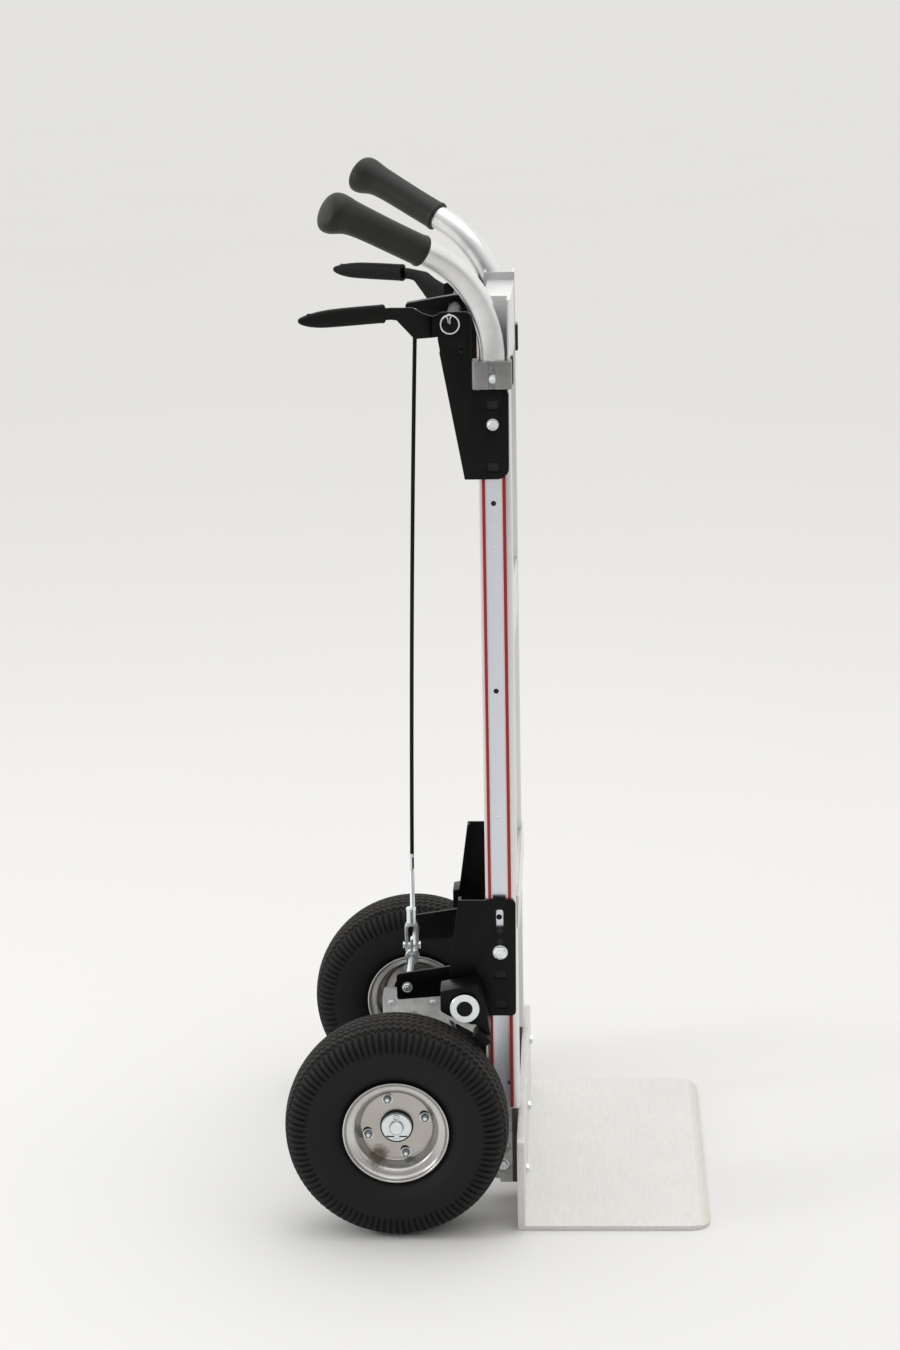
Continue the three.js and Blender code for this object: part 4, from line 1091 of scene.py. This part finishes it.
class TRUCK_OT_handles(bpy.types.Operator):
    """Bends the handle tubes and moulds the grips on their ends"""

    bl_idname = "truck.handles"
    bl_label = "Handles"

    foot = (5, 150, 982)
    bend_from, bend_radius, bend, splay = 1012.3, 132, math.radians(63.6), math.radians(27.5)

    def line(self, sign, back, up):
        return Vector((self.foot[0] - back * math.cos(self.splay),
                       sign * (self.foot[1] + back * math.sin(self.splay)), up))

    def execute(self, context):
        settings = context.scene.truck_handles
        tube_radius = settings.tube_radius / MM
        for side, sign in SIDES:
            path = [self.line(sign, 0, self.foot[2]), self.line(sign, 0, self.bend_from)]
            for k in range(1, 25):
                angle = self.bend * k / 24
                path.append(self.line(sign, self.bend_radius * (1 - math.cos(angle)),
                                      self.bend_from + self.bend_radius * math.sin(angle)))
            elbow = path[-1]
            back = self.bend_radius * (1 - math.cos(self.bend))
            far = self.line(sign, back + 100 * math.sin(self.bend),
                            self.bend_from + self.bend_radius * math.sin(self.bend) + 100 * math.cos(self.bend))
            ahead = (far - elbow).normalized()
            path.append(elbow + ahead * 60)
            mouth = elbow + ahead * 10.4
            tube = piped(f"{side}_handle_tube_bent", path, tube_radius, 40, (0.3, sign, 0.2))
            add_piece(f"{side}_handle_tube_bent", tube, "tube", "frame", "tube", f"{side}_handle_tube")
            grip = self.grip(side, mouth, ahead, settings.grip_radius / MM, settings.grip_flare / MM)
            add_piece(f"{side}_grip_moulded", grip, "grip", "frame", "grip", f"{side}_handle_grip")
            bolts(f"{side}_collar_screw", "frame", (5.3, sign * 166.4, 991.4), (0, sign, 0),
                  head_radius=3.4, head_height=1.6, flange_radius=5.0, flange_height=0.7,
                  stud_radius=1.6, stud_height=0.3)
        return {"FINISHED"}

    @staticmethod
    def grip(side, start, ahead, radius, flare):
        """Rings along the tube: a lipped mouth, a straight sleeve and a drooping flared end."""
        down = (Vector((0, 0, -1)) - ahead * ahead.dot(Vector((0, 0, -1)))).normalized()
        stations = [
            (1.0, 14.5, 0), (0.6, radius - 1.4, 0), (0.9, radius + 0.1, 0), (2.0, radius + 0.7, 0),
            (4.4, radius + 0.7, 0), (6.0, radius + 0.1, 0), (9, radius, 0), (38, radius, 0),
            (66, radius + 0.3, -0.3), (84, radius + 0.9, -0.2), (94, radius + 1.8, 0.3), (101, flare - 1.2, 1.2),
            (107, flare + 0.5, 2.3), (113, flare + 1.4, 3.2), (118, flare + 0.8, 3.8), (121.5, flare - 1.2, 4.0),
            (124, flare - 4.6, 3.9), (125.4, flare - 9.4, 3.6), (126, 4.0, 3.2),
        ]
        line = flowing([Vector(station) for station in stations], 3)
        rings = [
            ring_round(start + ahead * along + down * drop, ahead, (0, 0, 1), girth, girth, 40)
            for along, girth, drop in line
        ]
        return lofted(f"{side}_grip_moulded", rings, 60)


def pockets(label, side, sign, heights):
    """Dark sheets of painted shade on the floors of a brake bracket's pressed pockets."""
    floors = [
        block("pocket", (RAIL_MIDDLE - 6.6, sign * 154.4, z - 5.2), (RAIL_MIDDLE + 6.6, sign * 154.72, z + 4.6), 0.12)
        for z in heights
    ]
    name = f"{side}_{label}_pockets"
    add_piece(name, joined(name, floors), "recess", "frame", "black_steel")


class TRUCK_OT_hand_levers(bpy.types.Operator):
    """Dresses the hand levers, their grips, brackets and shaft"""

    bl_idname = "truck.hand_levers"
    bl_label = "Hand levers"

    @staticmethod
    def plan(x):
        """How far out the lever's middle lies at a place along the truck."""
        first = max(min(-61.5 - x, 43.5), 0)
        second = max(-105 - x, 0)
        return 148.5 + first * math.tan(math.radians(41)) + second * math.tan(math.radians(30))

    def execute(self, context):
        for side, sign in SIDES:
            crisped(f"{side}_brake_lever", edge=0.5)
            crisped(f"{side}_upper_brake_bracket", edge=1.0)
            self.grip(side, sign)
            at_shaft = (LEVER_SHAFT_X, 0, LEVER_SHAFT_Z)
            washer = turned(f"{side}_lever_washer", washer_profile(7.6, 9.4, 157.0, 158.6, 0.3),
                            at_shaft, (0, sign, 0), 48)
            add_piece(f"{side}_lever_washer", washer, "black_steel", "levers", "plated")
            ring = turned(f"{side}_lever_ring", washer_profile(9.5, 11.2, 157.0, 158.2, 0.4), at_shaft, (0, sign, 0), 48)
            add_piece(f"{side}_lever_ring", ring, "plated", "levers", "plated")
            self.cotter(side, sign)
            bolts(f"{side}_upper_bolt_head", "frame", (RAIL_MIDDLE, sign * 156.5, 939), (0, sign, 0),
                  replaced=(f"{side}_upper_bracket_bolt",),
                  head_radius=5.4, head_height=3.8, flange_radius=6.9, flange_height=1.2,
                  stud_radius=2.0, stud_height=0.5)
        crisped("centre_arm", edge=0.5)
        for side, sign in SIDES:
            pockets("upper", side, sign, (961, 891))
        shaft = turned("lever_shaft_turned", rounded_rod(7.5, -160.5, 160.5, 1.0),
                       (LEVER_SHAFT_X, 0, LEVER_SHAFT_Z), steps=48)
        add_piece("lever_shaft_turned", shaft, "black_steel", "levers", "plated", "lever_shaft")
        pin = turned("rod_pin_turned", rounded_rod(2.6, -10, 10, 0.4), (-88.5, 0, 1048), steps=32)
        add_piece("rod_pin_turned", pin, "plated", "levers", "plated", "rod_pin")
        return {"FINISHED"}

    def grip(self, side, sign):
        """A flattened sleeve that tapers to a blunt point at its free end."""
        stations = [
            (-112.6, 5.8, 9.0, 1068.6), (-112.9, 6.7, 10.1, 1068.6), (-114.6, 6.9, 10.4, 1068.6),
            (-117, 6.6, 10.1, 1068.6), (-140, 6.5, 10.1, 1068.6), (-165, 6.4, 9.8, 1068.4),
            (-178, 6.1, 9.0, 1068.0), (-188, 5.5, 7.4, 1067.8), (-195, 4.6, 5.4, 1067.8),
            (-199.5, 3.4, 3.4, 1068.0), (-201.4, 1.6, 1.6, 1068.1),
        ]
        rings = []
        for x, wide, tall, z in flowing([Vector(s) for s in stations], 4):
            ahead = Vector((-1, sign * (self.plan(x - 1) - self.plan(x)), 0))
            rings.append(ring_round((x, sign * self.plan(x), z), ahead, (0, 0, 1), wide, tall, 32, 2.7))
        mesh = lofted(f"{side}_lever_grip_moulded", rings, 60)
        add_piece(f"{side}_lever_grip_moulded", mesh, "sleeve", "levers", "grip", f"{side}_lever_grip")

    @staticmethod
    def cotter(side, sign):
        y = sign * 159.9
        eye = [(LEVER_SHAFT_X - 0.8 + 2.4 * math.cos(a), y, LEVER_SHAFT_Z + 9.0 + 2.4 * math.sin(a))
               for a in (math.radians(-60 + 30 * k) for k in range(11))]
        wire = piped("cotter", [(LEVER_SHAFT_X + 0.2, y, LEVER_SHAFT_Z + 1.0), *eye,
                                (LEVER_SHAFT_X - 1.4, y, LEVER_SHAFT_Z + 2.0)], 0.8, 10)
        add_piece(f"{side}_lever_cotter", wire, "plated", "levers", "plated")


class TRUCK_OT_pull_rod(bpy.types.Operator):
    """Bends the pull rod and makes its threaded end, clevis and link"""

    bl_idname = "truck.pull_rod"
    bl_label = "Pull rod"

    @staticmethod
    def x_at(z):
        along = max((1043 - z) / 794.5, 0)
        return -88.5 - (1043 - z) * 0.0243 - 2.6 * 4 * along * (1 - along)

    def execute(self, context):
        body = "pull_rod"
        line = [(self.x_at(z), 0, z) for z in range(1043, 361, -20)]
        stem = piped("rod_stem", line, 2.4, 16)
        eye = turned("rod_eye", [(3.5, -2.2), (5.2, -2.2), (5.5, -1.9), (5.5, 1.9), (5.2, 2.2), (3.5, 2.2)],
                     (-88.5, 0, 1048), steps=40)
        add_piece("brake_rod_bent", joined("brake_rod_bent", [stem, eye]), "black_steel", body, "black_steel",
                  "brake_rod")
        x = self.x_at(345)
        thread = [(0, 320.5)]
        for k in range(38):
            z = 321 + k * 1.25
            thread += [(2.75, z), (3.0, z + 0.62)]
        thread += [(2.75, 369), (2.5, 371), (2.5, 384), (2.9, 384.6), (2.9, 389), (0, 389.6)]
        screw = turned("rod_screw", thread, (x, 0, 0), (0, 0, 1), 24)
        add_piece("rod_adjuster_threaded", screw, "plated", body, "plated", "rod_adjuster")
        barrel = turned("clevis_barrel", [(0, 300), (5.6, 300), (5.6, 316.4), (6.2, 317), (6.2, 319.4), (5.6, 320), (0, 320)],
                        (CROSS_ROD_X, 0, 0), (0, 0, 1), 40)
        fork = extruded("clevis_fork", [
            (-8, 266), (-8, 297), (-5.4, 302), (5.4, 302), (8, 297), (8, 266), (4.6, 266), (4.6, 293),
            (2.6, 297), (-2.6, 297), (-4.6, 293), (-4.6, 266),
        ], -5.5, 5.5, (CROSS_ROD_X, 0), 0.9)
        add_piece("clevis_forged", joined("clevis_forged", [barrel, fork]), "plated", body, "plated", "clevis")
        crisped("pull_link", edge=0.4)
        pin = turned("clevis_pin_turned", rounded_rod(3, -10.6, 10.6, 0.5), (CROSS_ROD_X, 0, 272), (1, 0, 0), 32)
        head = turned("pin_head", rounded_rod(4.6, 9.0, 10.8, 0.4), (CROSS_ROD_X, 0, 272), (1, 0, 0), 32)
        tail = turned("pin_tail", rounded_rod(4.2, -10.6, -9.4, 0.3), (CROSS_ROD_X, 0, 272), (1, 0, 0), 32)
        add_piece("clevis_pin_turned", joined("clevis_pin_turned", [pin, head, tail]), "plated", body, "plated",
                  "clevis_pin")
        return {"FINISHED"}


class TRUCK_OT_tyre_brake(bpy.types.Operator):
    """Dresses the brake shaft, cranks, shoe arms, shoes and lower brackets"""

    bl_idname = "truck.tyre_brake"
    bl_label = "Tyre brake"

    def execute(self, context):
        at_shaft = (BRAKE_SHAFT_X, 0, BRAKE_SHAFT_Z)
        shaft = turned("brake_shaft_turned", rounded_rod(9, -209.5, 209.5, 1.2), at_shaft, steps=48)
        add_piece("brake_shaft_turned", shaft, "black_steel", "brake", "black_steel", "brake_shaft")
        cross = turned("cross_rod_turned", rounded_rod(4, -111, 111, 0.8), (CROSS_ROD_X, 0, CROSS_ROD_Z), steps=32)
        add_piece("cross_rod_turned", cross, "plated", "brake", "plated", "cross_rod")
        for side, sign in SIDES:
            for part, edge in (("crank_arm", 0.7), ("shoe_arm", 0.9), ("lower_brake_bracket", 1.0)):
                crisped(f"{side}_{part}", edge=edge)
            pockets("lower", side, sign, (290.6, 253.8))
            # Painted shade: dark discs at both ends of the lower bracket's slot and round the bolt in the rail's
            # groove.
            marks(f"{side}_slot_ends", "frame", (RAIL_MIDDLE, sign * 156.4, 330.6), sign, "recess", "black_steel",
                  Count=2, Spacing=13.6, Radius=3.6, Height=0.14)
            marks(f"{side}_slot_bolt", "frame", (RAIL_MIDDLE - 0.8, sign * 151.5, 359.5), sign, "recess",
                  "extrusion", Count=1, Spacing=1.0, Radius=3.3, Height=0.6)
            crisped(f"{side}_brake_shoe", "shoe", edge=1.0)
            washer = turned(f"{side}_shaft_washer_turned", washer_profile(9.3, 17, 205.2, 207.6, 0.4), at_shaft,
                            (0, sign, 0), 64)
            add_piece(f"{side}_shaft_washer_turned", washer, "plated", "brake", "plated", f"{side}_shaft_washer")
            bolts(f"{side}_lower_bolt_head", "frame", (RAIL_MIDDLE, sign * 156.5, 318), (0, sign, 0),
                  replaced=(f"{side}_lower_bracket_bolt",),
                  head_radius=7.7, head_height=4.2, flange_radius=8.9, flange_height=1.2,
                  stud_radius=2.6, stud_height=0.5)
            bolts(f"{side}_crank_nut", "brake", (CROSS_ROD_X, sign * 107.4, CROSS_ROD_Z), (0, sign, 0),
                  head_radius=5.6, head_height=3.2, flange_radius=6.6, flange_height=0.8,
                  stud_radius=2.6, stud_height=0.6)
            bolts(f"{side}_shoe_nut", "brake", (-27.5, sign * 190, 247.5), (-0.72, 0, -0.30),
                  finish="black_steel", slot="black_steel", head_radius=5.4, head_height=4.0,
                  flange_radius=6.2, flange_height=0.8, stud_radius=2.4, stud_height=2.0)
        return {"FINISHED"}


class TRUCK_OT_fasteners(bpy.types.Operator):
    """Sets the bolts of the nose plate and axle brackets"""

    bl_idname = "truck.fasteners"
    bl_label = "Fasteners"

    def execute(self, context):
        sizes = {"head_radius": 5.4, "head_height": 3.2, "flange_radius": 7.0, "flange_height": 0.9,
                 "stud_radius": 2.0, "stud_height": 0.2}
        for label, y, z in (("right", -150, 44), ("middle", 4, 60), ("left", 150, 90)):
            bolts(f"nose_bolt_{label}", "frame", (30.8, y, z), (1, 0, 0), **sizes)
        for side, sign in SIDES:
            bolts(f"{side}_foot_bolt", "frame", (3.5, sign * 151.1, 50), (0, sign, 0),
                  head_radius=5.6, head_height=3.4, flange_radius=7.4, flange_height=1.0,
                  stud_radius=2.2, stud_height=0.2)
            for k, x in enumerate((-144, -91)):
                bolts(f"{side}_clamp_bolt_{k}", "frame", (x, -150.1 if sign < 0 else 124.9, 151), (0, -1, 0),
                      head_radius=4.2, head_height=2.4, flange_radius=5.6, flange_height=0.7,
                      stud_radius=2.2, stud_height=0.8)
        return {"FINISHED"}


class TRUCK_OT_stage(bpy.types.Operator):
    """Lays the pale floor and sets the soft lights and the camera"""

    bl_idname = "truck.stage"
    bl_label = "Stage"

    def execute(self, context):
        settings = context.scene.truck_stage
        self.floor(settings)
        self.sky(context.scene)
        self.softbox("overhead", (0.2, 0.2, 3.6), (0, 0, 0.4), 2.4, settings.key_power)
        self.softbox("side", (-3.2, -0.9, 1.7), (0, 0, 0.7), 0.6, settings.key_power * 0.9)
        self.camera(context.scene, settings)
        context.scene.view_settings.view_transform = "Standard"
        return {"FINISHED"}

    @staticmethod
    def floor(settings):
        mesh = bpy.data.meshes.new("floor")
        half = 150.0
        corners = [(-half, -half, 0), (half, -half, 0), (half, half, 0), (-half, half, 0)]
        mesh.from_pydata(corners, [], [(0, 1, 2, 3)])
        finish = Finish("studio_floor", specular_ior_level=0.2)
        tone = finish.noise(0.7, detail=2)
        finish.coloured(finish.mix(tone, shade(settings.floor, 0.985), shade(settings.floor, 1.015)))
        finish.roughened(0.75 + tone * 0.1)
        mesh.materials.append(finish.material)
        ground = bpy.data.objects.new("floor", mesh)
        bpy.context.scene.collection.objects.link(ground)

    @staticmethod
    def sky(scene):
        world = bpy.data.worlds.new("studio")
        scene.world = world
        world.use_nodes = True
        graph = Graph(world.node_tree)
        ahead = graph.add("ShaderNodeTexCoord", output="Generated")
        split = graph.add("ShaderNodeSeparateXYZ", inputs={0: ahead}).socket.node
        beyond = Wire(graph, split.outputs["Y"])
        height = Wire(graph, split.outputs["Z"])
        lit = (beyond + height * 1.1).above(-0.75, 0.35)
        ramp = graph.add(
            "ShaderNodeValToRGB",
            {"stops": [(0.0, (0.16, 0.16, 0.165)), (0.5, (0.62, 0.62, 0.61)), (1.0, (1.0, 0.995, 0.985))]},
            {0: lit},
        )
        backdrop = world.node_tree.nodes["Background"]
        world.node_tree.links.new(ramp.socket, backdrop.inputs["Color"])
        backdrop.inputs["Strength"].default_value = 1.14

    @staticmethod
    def softbox(name, place, target, size, power):
        lamp = bpy.data.lights.new(name, "AREA")
        lamp.shape = "RECTANGLE"
        lamp.size = size
        lamp.size_y = size
        lamp.energy = power
        box = bpy.data.objects.new(name, lamp)
        box.location = place
        aim = Vector(target) - Vector(place)
        box.rotation_euler = aim.to_track_quat("-Z", "Y").to_euler()
        bpy.context.scene.collection.objects.link(box)

    @staticmethod
    def camera(scene, settings):
        lens = bpy.data.cameras.new("viewpoint")
        lens.sensor_fit = "VERTICAL"
        lens.sensor_height = 36
        lens.lens = settings.lens
        lens.clip_end = 400
        yaw, pitch, roll = 0.046, 0.25, -0.0184
        ahead = Vector((-math.sin(yaw) * math.cos(pitch), math.cos(yaw) * math.cos(pitch), -math.sin(pitch)))
        level = Vector((math.cos(yaw), math.sin(yaw), 0))
        upright = level.cross(ahead)
        right = math.cos(roll) * level + math.sin(roll) * upright
        up = -math.sin(roll) * level + math.cos(roll) * upright
        turn = Matrix((right, up, -ahead)).transposed()
        eye = bpy.data.objects.new("viewpoint", lens)
        eye.matrix_world = Matrix.Translation((0.1029, -3.4496, 1.4934)) @ turn.to_4x4()
        scene.collection.objects.link(eye)
        scene.camera = eye


class TRUCK_PT_panel(bpy.types.Panel):
    """Lists the steps that build the truck's looks"""

    bl_idname = "TRUCK_PT_panel"
    bl_label = "Hand truck"
    bl_space_type = "VIEW_3D"
    bl_region_type = "UI"
    bl_category = "Hand truck"

    def draw(self, context):
        for step in STEPS:
            self.layout.operator(step.bl_idname)


STEPS = (
    TRUCK_OT_stage, TRUCK_OT_frame, TRUCK_OT_rail_trim, TRUCK_OT_tyres, TRUCK_OT_rims, TRUCK_OT_handles,
    TRUCK_OT_hand_levers, TRUCK_OT_pull_rod, TRUCK_OT_tyre_brake, TRUCK_OT_fasteners,
)
SETTINGS = {
    "truck_colours": TruckColours, "truck_wheels": TruckWheels,
    "truck_handles": TruckHandles, "truck_stage": TruckStage,
}
CLASSES = (*SETTINGS.values(), *STEPS, TRUCK_PT_panel)


def register():
    for cls in CLASSES:
        bpy.utils.register_class(cls)
    for name, cls in SETTINGS.items():
        setattr(bpy.types.Scene, name, PointerProperty(type=cls))


def unregister():
    for name in SETTINGS:
        delattr(bpy.types.Scene, name)
    for cls in reversed(CLASSES):
        bpy.utils.unregister_class(cls)


def main():
    register()
    for step in STEPS:
        getattr(bpy.ops.truck, step.bl_idname.split(".")[1])()


if __name__ == "__main__":
    main()
